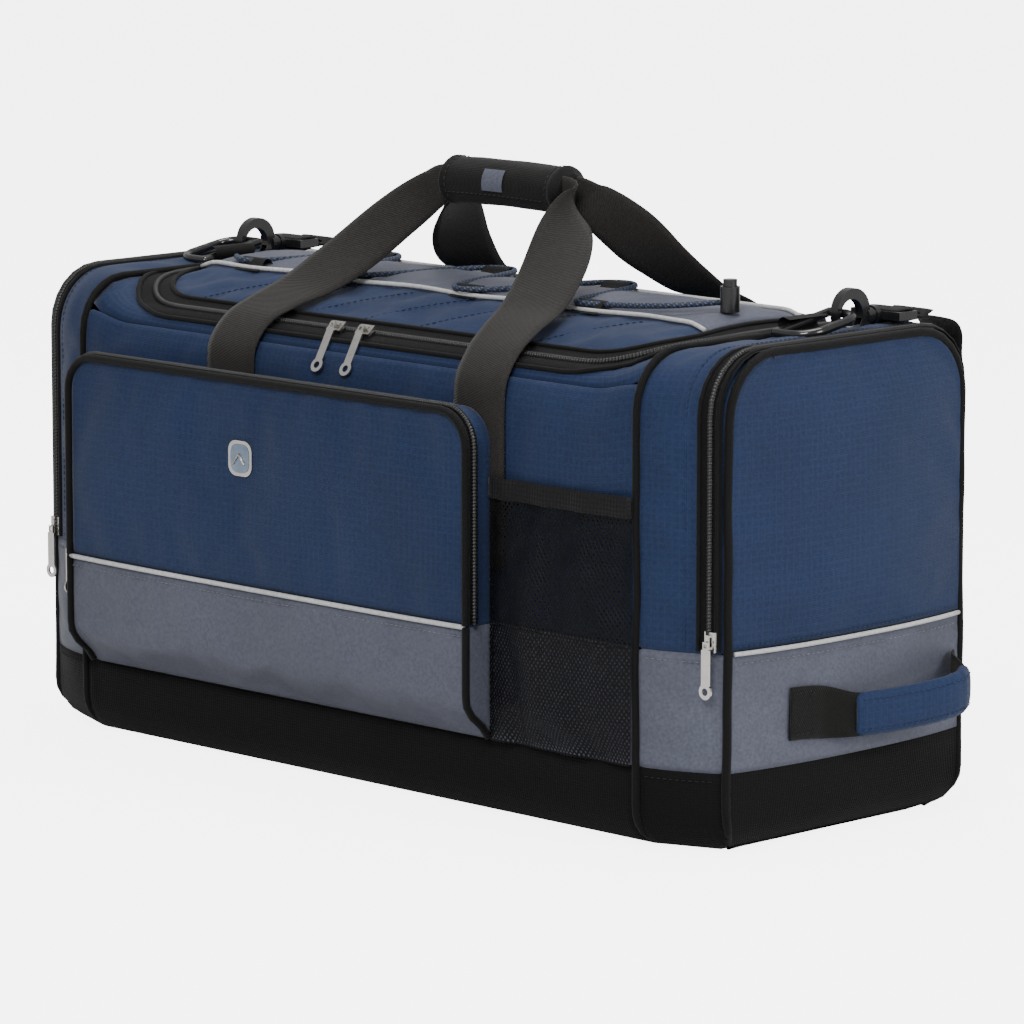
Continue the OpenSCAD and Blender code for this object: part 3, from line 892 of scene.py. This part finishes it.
def off_quilt(spot):
    """True where a lid point is away from every quilting line."""
    for (x0, y0), (x1, y1) in quilt_lines():
        run = Vector((x1 - x0, y1 - y0))
        t = min(1.0, max(0.0, Vector((spot.x - x0, spot.y - y0)).dot(run) / run.length_squared))
        if math.hypot(spot.x - x0 - run.x * t, spot.y - y0 - run.y * t) < 4.0:
            return False
    return True


def clear_of_zip(spot):
    """True where the lid cloth is free: away from the grey strip and the zipper tape."""
    over_x = max(0.0, abs(spot.x) - (LID_X - LID_CORNER))
    over_y = LID_FRONT + LID_CORNER - spot.y if spot.y < 0 else spot.y - (LID_REAR - LID_CORNER)
    inside = math.hypot(over_x, max(0.0, over_y)) < LID_CORNER - 16.0
    return off_quilt(spot) and abs(spot.y) > 56.0 and inside


def clear_of_tabs(spot):
    """True where the grey end cloth is free of the sewn handle tabs."""
    near = -74.0 < spot.y < -28.0 or 70.0 < spot.y < 115.0
    return not (near and 72.0 < spot.z < 120.0)


def strip_edge(x):
    """Half the depth of the lid's grey strip, which is not quite straight."""
    return 50.0 + 2.0 * math.sin(x / 19.0) * ease((262 - abs(x)) / 60)


def make_lid():
    rows = []
    for x in [LID_X * 0.996 * math.sin(math.pi / 2 * t) for t in spaced(-1.0, 1.0, 0.026)]:
        x0 = LID_X - LID_CORNER
        cut = LID_CORNER
        if abs(x) > x0:
            cut = math.sqrt(max(0.0, LID_CORNER ** 2 - (abs(x) - x0) ** 2))
        front = LID_FRONT + LID_CORNER - cut + 1.0
        rear = LID_REAR - LID_CORNER + cut - 1.0
        rows.append([raised(x, y) for y in [mix(front, rear, t) for t in evenly(0.0, 1.0, 26)]])
    panel("lid_cloth", rows, navy, "lid", "navy_fabric", ("lid_panel",), 0.022, 0.5, 4.0,
          free=clear_of_zip)
    for index, ((x0, y0), (x1, y1)) in enumerate(quilt_lines()):
        path = [raised(mix(x0, x1, t), mix(y0, y1, t), 0.5) for t in evenly(0.0, 1.0, 10)]
        stitches("quilt_" + str(index), path, thread_blue, "lid", "navy_fabric", radius=0.5)
    rows = []
    for x in spaced(-262.0, 262.0, 9.0):
        edge = strip_edge(x)
        rows.append([raised(x, y, 1.8 if abs(y) < edge - 1 else 0.6) for y in evenly(-edge, edge, 11)])
    panel("lid_strip_cloth", rows, grey, "lid", "grey_fabric", ("lid_strip",), 0.008, 0.3, 1.2)
    for side, name in FACES:
        path = [raised(x, side * strip_edge(x), 2.4) for x in spaced(-262.0, 262.0, 6.0)]
        cord("lid_line_" + name, path, 1.7, reflective, "lid", "piping", sides=10)


# ---- seams and piping ----

def hoop_path(x, half, top, corner):
    """The outline of the bag at a station, all the way round, in millimetres."""
    low = 4.0
    out = [(x, y, low) for y in spaced(-(half - FOOT), half - FOOT, 16.0)]
    out += [(x, y, z) for y, z in arc(half - FOOT, low + FOOT, FOOT, range(-75, 1, 15))]
    out += [(x, half, z) for z in spaced(low + FOOT, top - corner, 14.0)[1:]]
    out += [(x, y, z) for y, z in arc(half - corner, top - corner, corner, range(15, 91, 15))]
    out += [(x, y, top) for y in spaced(half - corner, -(half - corner), 16.0)[1:]]
    mirrored = [(x, -y, z) for x, y, z in out if y > half - corner]
    upper = [p for p in mirrored if p[2] > low + FOOT]
    lower = [p for p in mirrored if p[2] <= low + FOOT and p[1] < -(half - FOOT)]
    upper.reverse()
    lower.reverse()
    return out + upper + lower


def make_seams():
    for side, name in SIDES:
        hoops = (
            (MAIN_HALF, HALF_DEPTH + 1.0, top_line(MAIN_HALF) + 2.0, SHOULDER, 2.7, "_main_piping"),
            (350.5, HALF_END + 1.0, END_TOP + 2.0, END_CORNER, 3.2, "_end_piping"),
        )
        for x, half, top, corner, radius, label in hoops:
            wavy = []
            for px, py, pz in hoop_path(side * x, half, top, corner):
                shift = noise.noise(Vector((py, pz, px)) * 0.02) * 1.6
                rolled = side * tuck(pz - 3.0) if x > 300.0 else 0.0
                wavy.append((px + shift - rolled, py, pz))
            cord(name + label, wavy, radius, piping, "shell", "piping", "piping", sides=12, loop=True)
        make_end_zip(side, name)
    stations = spaced(-282.0, 282.0, 12.0)
    for side, name in FACES:
        path = [wall_point(x, side, BAND_TOP) for x in stations]
        path = shifted(path, 0.0, side * 1.0)
        cord(name + "_wall_seam", path, 1.0, grey, "shell", "grey_fabric", sides=10)
        wall_stitch(name + "_wall_stitch", stations, side, BAND_TOP - 6.0, thread_pale)
    for side, name in SIDES:
        stations = [side * x for x in spaced(295.0, 345.0, 5.0)]
        for face, label in FACES:
            start = name + "_" + label + "_stitch"
            wall_stitch(start + "_a", stations, face, BAND_TOP - 6.0, thread_pale)
            wall_stitch(start + "_b", stations, face, BASE_TOP - 6.0, thread_black)


def wall_stitch(name, stations, side, level, thread):
    path = [wall_point(x, side, level) for x in stations]
    stitches(name, shifted(path, 0.0, side * 0.8), thread, "shell", "piping")


def zip_outline(side, x, grow):
    """The end pocket's zipper line from the front, over the top and down the rear."""
    half = half_depth(x) + grow
    top = top_line(x) + grow
    corner = 43.0
    out = [(side * x, -half, z) for z in evenly(BAND_TOP + 2.0, top - corner, 16)]
    out += [(side * x, -y, z) for y, z in arc(half - corner, top - corner, corner, range(15, 91, 15))]
    out += [(side * x, y, top) for y in evenly(-(half - corner), half - corner, 12)[1:]]
    out += [(side * x, y, z) for y, z in arc(half - corner, top - corner, corner, range(75, -1, -15))]
    out += [(side * x, half, z) for z in evenly(top - corner, BAND_TOP + 2.0, 16)[1:]]
    return out


def make_end_zip(side, name):
    rows = [zip_outline(side, x, 4.2) for x in (333.5, 338.0, 343.0, 349.5)]
    strip(name + "_zip_band", rows, tape, "shell", "zipper_tape", "end_zipper_tapes")
    cord(name + "_zip_coil", zip_outline(side, 341.5, 4.4), 2.3, coil, "shell", "zipper_tape")
    cord(name + "_zip_edge", zip_outline(side, 334.0, 4.0), 1.8, piping, "shell", "piping")
    cord(name + "_zip_bind", zip_outline(side, 346.5, 4.2), 1.5, piping, "shell", "piping")
    stitches(name + "_zip_stitch", zip_outline(side, 325.0, 4.6), thread_blue, "shell", "navy_fabric")


# ---- front pocket and mesh pocket ----

def pocket_side(z):
    """How far the pocket's edge pulls in at a height, for its rounded top corners."""
    rise = z - (POCKET_TOP - POCKET_CORNER)
    if rise <= 0:
        return 0.0
    return POCKET_CORNER - math.sqrt(max(0.0, POCKET_CORNER ** 2 - rise ** 2))


def pocket_depth(share, z):
    """The pocket face's Y: full in the middle, rolled back at the bottom."""
    swell = (1.0 - abs(share) ** 4) * ease((POCKET_TOP - z) / 50.0)
    y = POCKET_FACE - 3.5 * swell
    roll = ease((34.0 - (z - POCKET_LEVEL)) / 34.0)
    return y + 22.0 * roll * roll


def make_pocket():
    corner = POCKET_TOP - POCKET_CORNER
    high = [corner + POCKET_CORNER * math.sin(math.radians(a)) for a in (15, 30, 45, 60, 72, 82)]
    rows = [even_row(z, 42) for z in spaced(BAND_TOP + 1.5, corner, 9.0) + high]
    panel("pocket_face", rows, navy, "pocket_flap", "navy_fabric", ("pocket_flap",), 0.005, 0.3, 3.0,
          free=lambda p: abs(p.x - BADGE[0]) > 22.0 or abs(p.z - BADGE[1]) > 22.0)
    rows = [even_row(z, 42) for z in spaced(POCKET_LEVEL, BAND_TOP - 0.5, 7.0)]
    rows = [[(x, -150.0, POCKET_LEVEL - 2.0) for x, y, z in rows[0]]] + rows
    panel("pocket_low", rows, grey, "shell", "grey_fabric", ("front_pocket",), 0.010, 0.3, 4.0)
    rim = pocket_rim()
    make_pocket_sides(rim)
    make_pocket_edges(rim, [p for p in rim if p[2] > BAND_TOP])
    row = even_row(BAND_TOP, 60)
    cord("pocket_line", shifted(row, 0.0, -1.4), 1.8, reflective, "shell", "piping", sides=10)
    row = even_row(BAND_TOP - 7.0, 60)
    stitches("pocket_stitch", shifted(row, 0.0, -1.0), thread_pale, "shell", "piping")


def make_pocket_sides(rim):
    """The pocket's sides, grey below the zipper and navy round the flap."""
    count = sum(1 for p in rim if p[2] <= BAND_TOP) // 2
    parts = (
        (rim[:count], grey, "grey_fabric", "left"),
        (rim[-count:], grey, "grey_fabric", "right"),
        (rim[count - 1:len(rim) - count + 1], navy, "navy_fabric", "top"),
    )
    for part, finish, label, name in parts:
        gusset = []
        for share in (0.0, 0.2, 0.45, 0.7, 1.0):
            gusset.append([(x, mix(y, -147.0, share), z) for x, y, z in part])
        strip("pocket_gusset_" + name, gusset, finish, "shell", label, thick=1.2, centre=POCKET_MIDDLE)


def make_pocket_edges(rim, upper):
    """The zipper round the flap, and the piping round the whole pocket."""
    rows = [[push_out(p, 1.0, y) for p in upper] for y in (-175.0, -172.0, -168.0, -164.5)]
    strip("pocket_zip_band", rows, tape, "shell", "zipper_tape", "pocket_zipper_tape",
          thick=0.8, centre=POCKET_MIDDLE)
    path = [push_out(p, 2.0, -169.0) for p in upper]
    cord("pocket_coil", path, 2.2, coil, "shell", "zipper_tape")
    path = [push_out(p, -0.5, -175.0) for p in upper if p[2] > BAND_TOP + 1.0]
    cord("pocket_piping", path, 3.0, piping, "pocket_flap", "piping", sides=10)
    lower = [push_out(p, -0.5, pocket_depth(1.0, p[2]) - 1.0) for p in rim if p[2] <= BAND_TOP]
    halves = (("left", [p for p in lower if p[0] < 0]), ("right", [p for p in lower if p[0] >= 0]))
    for name, path in halves:
        cord("pocket_piping_" + name, path, 2.8, piping, "shell", "piping", sides=10)


def even_row(z, count):
    left = POCKET_LOW + pocket_side(z) + 1.5
    right = POCKET_HIGH - pocket_side(z) - 1.5
    shares = spaced(-1.0, 1.0, 2.0 / count)
    return [(mix(left, right, (t + 1) / 2), pocket_depth(t, z), z) for t in shares]


def pocket_rim():
    """Up the left edge, over the top and down the right edge of the pocket."""
    corner = POCKET_TOP - POCKET_CORNER
    left = POCKET_LOW + POCKET_CORNER
    right = POCKET_HIGH - POCKET_CORNER
    levels = spaced(POCKET_LEVEL, BAND_TOP, 8.0) + spaced(BAND_TOP + 1.6, corner, 9.0)
    out = [(POCKET_LOW, z) for z in levels]
    out += arc(left, corner, POCKET_CORNER, range(165, 89, -15))
    out += [(x, POCKET_TOP) for x in spaced(left, right, 12.0)[1:]]
    out += arc(right, corner, POCKET_CORNER, range(75, -1, -15))
    out += [(POCKET_HIGH, z) for z in reversed(levels[:-1])]
    return [(x, pocket_depth(1.0, z), z) for x, z in out]


def push_out(spot, amount, y):
    """Moves a rim point outward in the plane of the pocket face."""
    x, z = spot[0], spot[2]
    centre_x = min(POCKET_HIGH - POCKET_CORNER, max(POCKET_LOW + POCKET_CORNER, x))
    centre_z = min(POCKET_TOP - POCKET_CORNER, z)
    away = Vector((x - centre_x, 0, z - centre_z))
    if away.length > 0.01:
        away.normalize()
    return (x + away.x * amount, y, z + away.z * amount)


def mesh_point(t, z):
    """The mesh pocket: gathered by its elastic top, fuller lower down, with a few folds."""
    x = mix(153.5, 288.0, (t + 1) / 2)
    full = (1.0 - abs(t) ** 3)
    low = ease((246.0 - z) / 60.0)
    out = 3.0 + 9.0 * full * mix(0.35, 1.0, low) * ease((z - 50.0) / 40.0)
    fold = math.sin(t * 5.5 + z * 0.024) * 2.2 * full * low
    pinch = math.sin(t * 11.0 - z * 0.011) * 1.1 * full
    out += 3.4 * ease((-0.62 - t) / 0.2)
    return (x, -147.0 - max(1.0, out + fold + pinch), z)


def make_mesh_pocket():
    shares = spaced(-1.0, 1.0, 2.0 / 40)
    rows = [[mesh_point(t, z) for t in shares] for z in spaced(58.0, 233.0, 6.0)]
    made = faces_out(surface("mesh_net", rows, netting), BAG)
    slacken(made, 0.02, 0.2, 4.0)
    on_body(made, "shell", "mesh", "mesh_pocket")
    rows = []
    for z in (231.0, 232.5, 238.5, 244.5, 246.0):
        bulk = 1.2 if 232 < z < 245 else 0.4
        rows.append(shifted([mesh_point(t, z) for t in shares], 0.0, -bulk))
    strip("mesh_binding", rows, elastic, "shell", "elastic", "mesh_pocket_band", thick=1.6)


# ---- handles and straps ----

def loop_knots(side, in_y, in_z, in_w):
    """Stations of a carrying loop: front -1 or rear 1, from the left leg to the right."""
    s = side
    turn = 0.42 if s > 0 else 0.45
    lean = 1.0 if s > 0 else 0.55
    low = [(LEG_LEFT, s * 149.4, 180.0, 1, 0, 0, WEBBING), (LEG_LEFT, s * 149.6, 262.0, 1, 0, 0, WEBBING)]
    left = [
        (LEG_LEFT, s * 149.6, 292.0, 1, 0, 0, WEBBING),
        (LEG_LEFT, s * 147.2, 313.0, 1, 0, 0, WEBBING),
        (-118, s * 133, 331, 1, 0, 0, WEBBING),
        (-113, s * 112, 342, 1, 0.04, s * 0.03, WEBBING),
        (-105, s * 84, 354, 1, 0.12 * lean, s * 0.2 * lean, 49),
        (-89, s * 56, 375, 0.9, 0.2 * lean, s * 0.5 * lean, 44),
        (-68, s * 32, 401, 0.7, 0.2, s * 0.8 * lean, 37),
        (-50, (in_y + s * 14) / 2, 421, 0.2, 0.1, s, 29),
        (-34, in_y, in_z, 0, 0, s, in_w),
    ]
    right = [
        (80, in_y, in_z, 0, 0, s, in_w),
        (95, (in_y + s * 14) / 2, 421, 0.3, 0.1, s, 31),
        (107, s * 32, 401, 0.75, 0.45, s * turn, 42),
        (118, s * 56, 378, 0.95, 0.3, s * turn * 0.4, 48),
        (127, s * 84, 357, 1, 0.2, s * turn * 0.15, WEBBING),
        (133, s * 112, 344, 1, 0.1, 0, WEBBING),
        (137, s * 133, 331, 1, 0, 0, WEBBING),
        (LEG_RIGHT, s * 147.2, 313, 1, 0, 0, WEBBING),
        (LEG_RIGHT, s * 149.6, 292, 1, 0, 0, WEBBING),
    ]
    end = [(LEG_RIGHT, s * 149.6, 262.0, 1, 0, 0, WEBBING), (LEG_RIGHT, s * 149.4, 180.0, 1, 0, 0, WEBBING)]
    return low + left + [(21, in_y, in_z + 1, 0, 0, s, in_w)] + right + end


def make_loops():
    for side, in_y, in_z, in_w, name in ((-1, -10, 429, 24, "front"), (1, 4, 431, 17, "rear")):
        made = ribbon(name + "_loop", smooth_path(loop_knots(side, in_y, in_z, in_w), 7), 2.6, twill)
        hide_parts(name + "_webbing", "handle_anchors")
        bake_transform(made)


def wrap_section(angle, grow):
    """The wrap's cross-section: a flattened sleeve of soft padding."""
    turn = math.radians(angle)
    return (-2.0 + (17.5 + grow) * math.cos(turn), 429.5 + (16.5 + grow) * math.sin(turn))


def sagged(x, y, z):
    """A point of the wrap, which sags a little between its ends."""
    return (x, y, z + 1.6 * math.cos((x - 21.0) / 72.0 * math.pi / 2) - 1.0)


def make_wrap():
    rows = []
    xs = [-38, -37, -35, -33, -30, -27, -22, -10, 5, 23, 41, 56, 68, 73, 76, 79, 81, 83, 84]
    for (x,) in smooth_path([(float(v),) for v in xs], 2):
        near = min(x + 38.0, 84.0 - x)
        grow = 0.6 + 1.3 * math.sin(math.pi * min(1.0, near / 8.5)) - 4.2 * (1.0 - ease(near / 5.0)) ** 1.5
        ring = []
        for k in range(40):
            wave = noise.noise(Vector((x * 0.06, k * 0.4, 2.0)))
            ring.append(sagged(x, *wrap_section(k * 9.0, grow + 0.5 * wave)))
        rows.append(ring)
    made = closed_up(surface("wrap_sleeve", rows, wrap_cloth, True))
    subdivide(made)
    on_body(made, "front_handle", "wrap_fabric", "handle_wrap")
    for x, name in ((-28.5, "left"), (74.5, "right")):
        path = [sagged(x, *wrap_section(a, 1.2)) for a in range(-60, 245, 6)]
        stitches("wrap_stitch_" + name, path, thread_dim, "front_handle", "wrap_fabric")
    path = [sagged(x, *wrap_section(205.0, 1.3)) for x in spaced(-28.0, 74.0, 6.0)]
    stitches("wrap_stitch_low", path, thread_dim, "front_handle", "wrap_fabric")
    make_patch()


def make_patch():
    """A small plain woven patch on the wrap's front."""
    rows = []
    for rise in spaced(-14.0, 14.0, 3.0):
        y, z = wrap_section(168.0 + rise * 1.9, 1.6)
        rows.append([(x, y, z + 0.5) for x in spaced(10.5, 31.5, 2.0)])
    strip("wrap_patch", rows, grey, "front_handle", "grey_fabric", thick=0.8, centre=(21, 0, 429))


# ---- shock cord, strap, end handles, hardware ----

CORD = (
    (244, -16, 10), (214, -38, 9), (165, -44, 6.6), (131, -44, 6.6), (103, 44, 6.6), (69, 44, 6.6),
    (41, -44, 6.6), (7, -44, 6.6), (-21, 44, 6.6), (-55, 44, 6.6), (-83, -44, 6.6), (-117, -44, 6.6),
    (-145, 44, 6.6), (-179, 44, 6.6), (-207, -44, 6.6), (-234, -40, 6.6),
)


TAB_PROFILE = ((-9, 1.2), (-6, 2.2), (-3, 5.6), (0, 7.9), (3, 7.6), (6, 5.0), (9, 2.2), (13, 1.4))


def on_crown(x, y, lift):
    return (x, y, CROWN_Z + math.sqrt(CROWN_R ** 2 - y * y) + lift)


def make_bungee():
    knots = [on_crown(x, y, lift - 1.2) for x, y, lift in CORD]
    path = smooth_path(knots, 10)
    cord("shock_cord", path, 2.1, cord_braid, "lid", "shock_cord", "bungee_cord", sides=10)
    tabs = [(x, -44) for x in (-207, -100, 24, 148)] + [(x, 44) for x in (-162, -38, 86)]
    for index, (x, y) in enumerate(tabs):
        side = 1 if y > 0 else -1
        rows = []
        for across in spaced(x - 13.0, x + 13.0, 4.0):
            rows.append([on_crown(across, y + side * k * 0.9, lift) for k, lift in TAB_PROFILE])
        strip("cord_tab_" + str(index), rows, black_webbing, "lid", "webbing", "lid_tabs")
    return distances(path)[-1]


STRAP_RIGHT = (
    (311, 94, 352), (310, 118, 349.5), (308, 142, 342), (300, 157, 322), (296, 162, 290),
    (284, 164, 210), (258, 164, 150), (210, 164, 108), (140, 164, 86), (60, 164, 79), (0, 164, 76),
)
STRAP_LEFT = (
    (-60, 164, 79), (-140, 164, 86), (-210, 164, 108), (-258, 164, 150), (-284, 164, 210),
    (-295, 162, 290), (-299, 157, 322), (-305, 142, 342), (-306, 118, 349.5), (-307, 94, 352),
)


def strap_knots():
    """Stations of the strap, with its width turned the right way all along."""
    points = list(STRAP_RIGHT) + list(STRAP_LEFT)
    knots = []
    for i, spot in enumerate(points):
        away = Vector((0, 0.25, 1)) if spot[2] > 325 else Vector((0, 1, 0))
        side = ahead_at(points, i).cross(away).normalized()
        if spot[2] > 340:
            side = Vector((-1, 0, 0))
        if side.dot(Vector((-1, 0, 0.6))) < 0 and spot[0] > 200:
            side = -side
        if knots and Vector(knots[-1][3:6]).dot(side) < 0:
            side = -side
        knots.append(tuple(spot) + tuple(side) + (STRAP,))
    return knots


def make_strap():
    made = ribbon("strap_web", smooth_path(strap_knots(), 6), 1.9, black_webbing)
    on_body(made, "strap", "webbing", "shoulder_strap")
    for x, name in ((311, "right"), (-307, "left")):
        fold = [(100, 353.6, 37.0), (90, 357.6, 37.0)]
        for angle in range(-45, 100, 15):
            turn = math.radians(angle)
            fold.append((80 - 5 * math.cos(turn), 354 - 4.4 * math.sin(turn), 36.0))
        fold += [(92, 350.2, 37.0), (104, 351.5, 37.0), (113, 355.0, 37.0)]
        path = smooth_path([(x, y, z, 1, 0, 0, width) for y, z, width in fold], 3)
        on_body(ribbon(name + "_strap_fold", path, 1.7, black_webbing), "strap", "webbing")


def make_pad():
    rows = []
    for x in spaced(-109.0, 109.0, 7.0):
        end = 109.0 - abs(x)
        half = 33.0
        if end < 24:
            half = 33.0 - 24.0 + math.sqrt(max(0.0, 24.0 ** 2 - (24.0 - end) ** 2))
        bulk = 4.6 * ease(end / 12.0) + 0.6
        ring = []
        for c, v in around(32):
            ring.append((x, 165.0 + squared(c, 0.8) * bulk, 83.0 + squared(v, 0.6) * half))
        rows.append(ring)
    made = closed_up(surface("pad_body", rows, wrap_cloth, True))
    on_body(made, "strap", "wrap_fabric", "shoulder_pad")
    for level, name in ((27.0, "high"), (-27.0, "low")):
        path = [(x, 170.0 - 0.4, 83.0 + level) for x in spaced(-88.0, 88.0, 8.0)]
        stitches("pad_stitch_" + name, path, thread_dim, "strap", "wrap_fabric")


BOW = (
    (373.5, -14.0, 88.0), (381.0, 8.0, 88.5), (387.5, 32.0, 90.0), (392.0, 56.0, 92.0),
    (391.0, 75.0, 94.0), (383.5, 88.0, 95.5),
)


def tab_x(y):
    """Where a sewn tab lies on the bulging end panel."""
    return abs(end_point(1, y / 118.0, 97.0)[0]) + 1.8


def make_grabs():
    for side, name in SIDES:
        make_grab_web(side, name)
        make_sleeve(side, name)
        corners = [(-65.0, 79.0), (-47.0, 79.0), (-47.0, 108.0), (-65.0, 108.0)]
        corners += [corners[0], corners[2]]
        path = []
        for (a, b), (c, d) in zip(corners, corners[1:]):
            for t in evenly(0.0, 1.0, 8):
                y = mix(a, c, t)
                path.append((side * (tab_x(y) + 1.2), y, mix(b, d, t)))
        stitches(name + "_box_stitch", path, thread_black, "shell", "webbing")


def make_grab_web(side, name):
    knots = [(tab_x(y), y, z, w) for y, z, w in ((-68, 94, 37), (-56, 93.5, 37), (-44, 92.5, 37))]
    knots += [(364.5, -32.0, 90.5, 36.0)]
    knots += [(x, y, z, 29.0 if index else 31.0) for index, (x, y, z) in enumerate(BOW)]
    knots += [(370.5, 96.0, 96.0, 33.0), (361.0, 101.0, 96.5, 36.0)]
    knots += [(tab_x(108.0), 109.0, 97.0, 37.0)]
    path = [(side * x, y, z, 0, 0, 1, w) for x, y, z, w in knots]
    web = ribbon(name + "_grab_web", smooth_path(path, 6), 2.4, black_webbing)
    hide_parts(name + "_grab_webbing", "grab_tabs")
    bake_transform(web)


def outward(path, i):
    """The level direction out of the bag at a point of a handle's bow."""
    return ahead_at(path, i).cross(Vector((0, 0, 1))).normalized()


def make_sleeve(side, name):
    """The padded sleeve round a grab handle, gathered at its ends, and its stitching."""
    line = smooth_path(BOW, 8)
    rows = []
    for index, spot in enumerate(line):
        near = min(index, len(line) - 1 - index)
        size = 0.80 + 0.20 * ease(near / 2.0)
        pucker = 0.5 * noise.noise(Vector((index * 0.8, side * 2.0, 0.0)))
        ring = []
        for c, v in around(28):
            deep = squared(c, 0.8) * (5.4 * size + pucker)
            place = Vector(spot) + outward(line, index) * deep
            ring.append((side * place.x, place.y, place.z + squared(v, 0.7) * (15.6 * size + pucker)))
        rows.append(ring)
    sleeve = closed_up(surface(name + "_sleeve", rows, navy, True))
    on_body(sleeve, "grab_" + name, "navy_fabric", name + "_grab_sleeve")
    for rise, tag in ((11.0, "high"), (-11.0, "low")):
        path = []
        for index in range(1, len(line) - 1):
            x, y, z = line[index]
            out = outward(line, index)
            path.append((side * (x + out.x * 5.0), y + out.y * 5.0, z + rise))
        stitches(name + "_sleeve_stitch_" + tag, path, thread_blue, "grab_" + name, "navy_fabric")


def make_ring_tabs():
    for side, x_bar, name in ((1, 299.0, "right"), (-1, -295.0, "left")):
        rows = []
        for y in spaced(-10.0, 30.0, 5.0):
            row = []
            for angle in range(0, 181, 20):
                turn = math.radians(angle)
                row.append((x_bar + side * -5.2 * math.sin(turn), y, 353.0 + 5.4 * math.cos(turn)))
            row.append((x_bar + side * 5.0, y, 346.9))
            row.insert(0, (x_bar + side * 6.0, y, 356.8))
            rows.append(row)
        tab = surface(name + "_ring_tab", rows, black_webbing)
        soft.append((tab, 1.2))
        on_body(tab, "shell", "webbing", "ring_tabs")


FINISHES = {
    "badge": nickel, "board": board, "nickel": nickel, "black_plastic": gloss_black,
    "navy_fabric": navy, "grey_fabric": grey, "base_fabric": base_cloth, "lining": lining,
    "piping": piping, "zipper_tape": tape, "mesh": netting, "elastic": elastic,
    "webbing": black_webbing, "wrap_fabric": wrap_cloth, "shock_cord": cord_braid,
}


def finish_cad():
    """Gives each visible CAD node the finish of its slot."""
    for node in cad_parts.values():
        for holder in node.material_slots:
            label = holder.material.name.split(".")[0] if holder.material else ""
            if label in FINISHES:
                holder.material = FINISHES[label]


def make_badge():
    """A rounded enamel face with a plain raised chevron inside the metal badge's rim."""
    rows = []
    for size in (0.02, 0.5, 0.85, 0.97, 1.0):
        ring = []
        lift = 0.5 if size < 0.96 else 0.1
        for c, v in around(40):
            x = BADGE[0] + squared(c, 0.62) * 10.0 * size
            ring.append((x, -179.1 - lift, BADGE[1] + squared(v, 0.62) * 10.6 * size))
        rows.append(ring)
    face = faces_out(surface("badge_enamel", rows, enamel, True), (-78, 0, 236))
    on_body(face, "pocket_flap", "nickel")
    path = [(-84.0, -180.0, 232.0), (-78.0, -180.2, 239.0), (-72.0, -180.0, 232.0)]
    cord("badge_chevron", smooth_path(path, 1), 1.0, nickel, "pocket_flap", "nickel")


# ---- stage, light and camera ----

def aimed(name, data, spot, aim):
    """Places a lamp or camera at a spot in metres, looking at another."""
    made = placed(name, data)
    made.location = spot
    made.rotation_euler = (Vector(aim) - Vector(spot)).to_track_quat("-Z", "Y").to_euler()
    return made


def lamp(name, spot, aim, size, power):
    data = bpy.data.lights.new(name, "AREA")
    data.energy = power
    data.size = size
    aimed(name, data, spot, aim)


def floor_material():
    """A pale floor whose glow only the camera sees, so that it doesn't light the bag."""
    pale = bpy.data.materials.new("pale_floor")
    pale.use_nodes = True
    nodes = pale.node_tree.nodes
    shader = nodes["Principled BSDF"]
    shader.inputs["Base Color"].default_value = (0.75, 0.75, 0.75, 1.0)
    shader.inputs["Roughness"].default_value = 0.9
    shader.inputs["Emission Color"].default_value = (1.0, 1.0, 1.0, 1.0)
    path = nodes.new("ShaderNodeLightPath")
    glow = nodes.new("ShaderNodeMath")
    glow.operation = "MULTIPLY"
    glow.inputs[1].default_value = 5.0
    pale.node_tree.links.new(path.outputs["Is Camera Ray"], glow.inputs[0])
    pale.node_tree.links.new(glow.outputs[0], shader.inputs["Emission Strength"])
    return pale


def make_stage():
    mesh = bpy.data.meshes.new("floor")
    reach = 30.0
    corners = [(x * reach, y * reach, -0.0006) for x, y in ((-1, -1), (1, -1), (1, 1), (-1, 1))]
    mesh.from_pydata(corners, [], [(0, 1, 2, 3)])
    mesh.materials.append(floor_material())
    placed("floor", mesh)
    world = bpy.data.worlds.new("studio")
    world.use_nodes = True
    world.node_tree.nodes["Background"].inputs[0].default_value = (1.0, 1.0, 1.0, 1.0)
    world.node_tree.nodes["Background"].inputs[1].default_value = 0.5
    bpy.context.scene.world = world
    lamp("key", (1.6, -2.6, 2.6), (0, 0, 0.2), 1.3, 95.0)
    lamp("side", (3.0, 0.4, 1.2), (0.3, 0, 0.2), 1.0, 40.0)
    lamp("top", (0.0, 0.4, 3.0), (0, 0, 0.3), 1.6, 50.0)


def make_camera():
    data = bpy.data.cameras.new("camera")
    data.sensor_width = 36.0
    data.lens = 206.95
    made = aimed("camera", data, (3.0481, -3.0028, 0.8844), (0.0211, 0.0, 0.1877))
    bpy.context.scene.camera = made


def main():
    """Makes everything in order; thickness and the flap pieces' final meshes come after the cloth has
    settled.
    """
    finish_cad()
    make_shell()
    make_ends()
    make_top()
    make_lid()
    make_pocket()
    make_mesh_pocket()
    settle()
    for obj, thick in soft:
        thicken(obj, thick, lining if thick > LINED_FROM else None)
    fold_flaps()
    make_seams()
    make_loops()
    make_wrap()
    cord_length = make_bungee()
    make_strap()
    make_pad()
    make_grabs()
    make_ring_tabs()
    make_badge()
    make_stage()
    make_camera()
    print("shock cord length", round(cord_length, 4))


main()
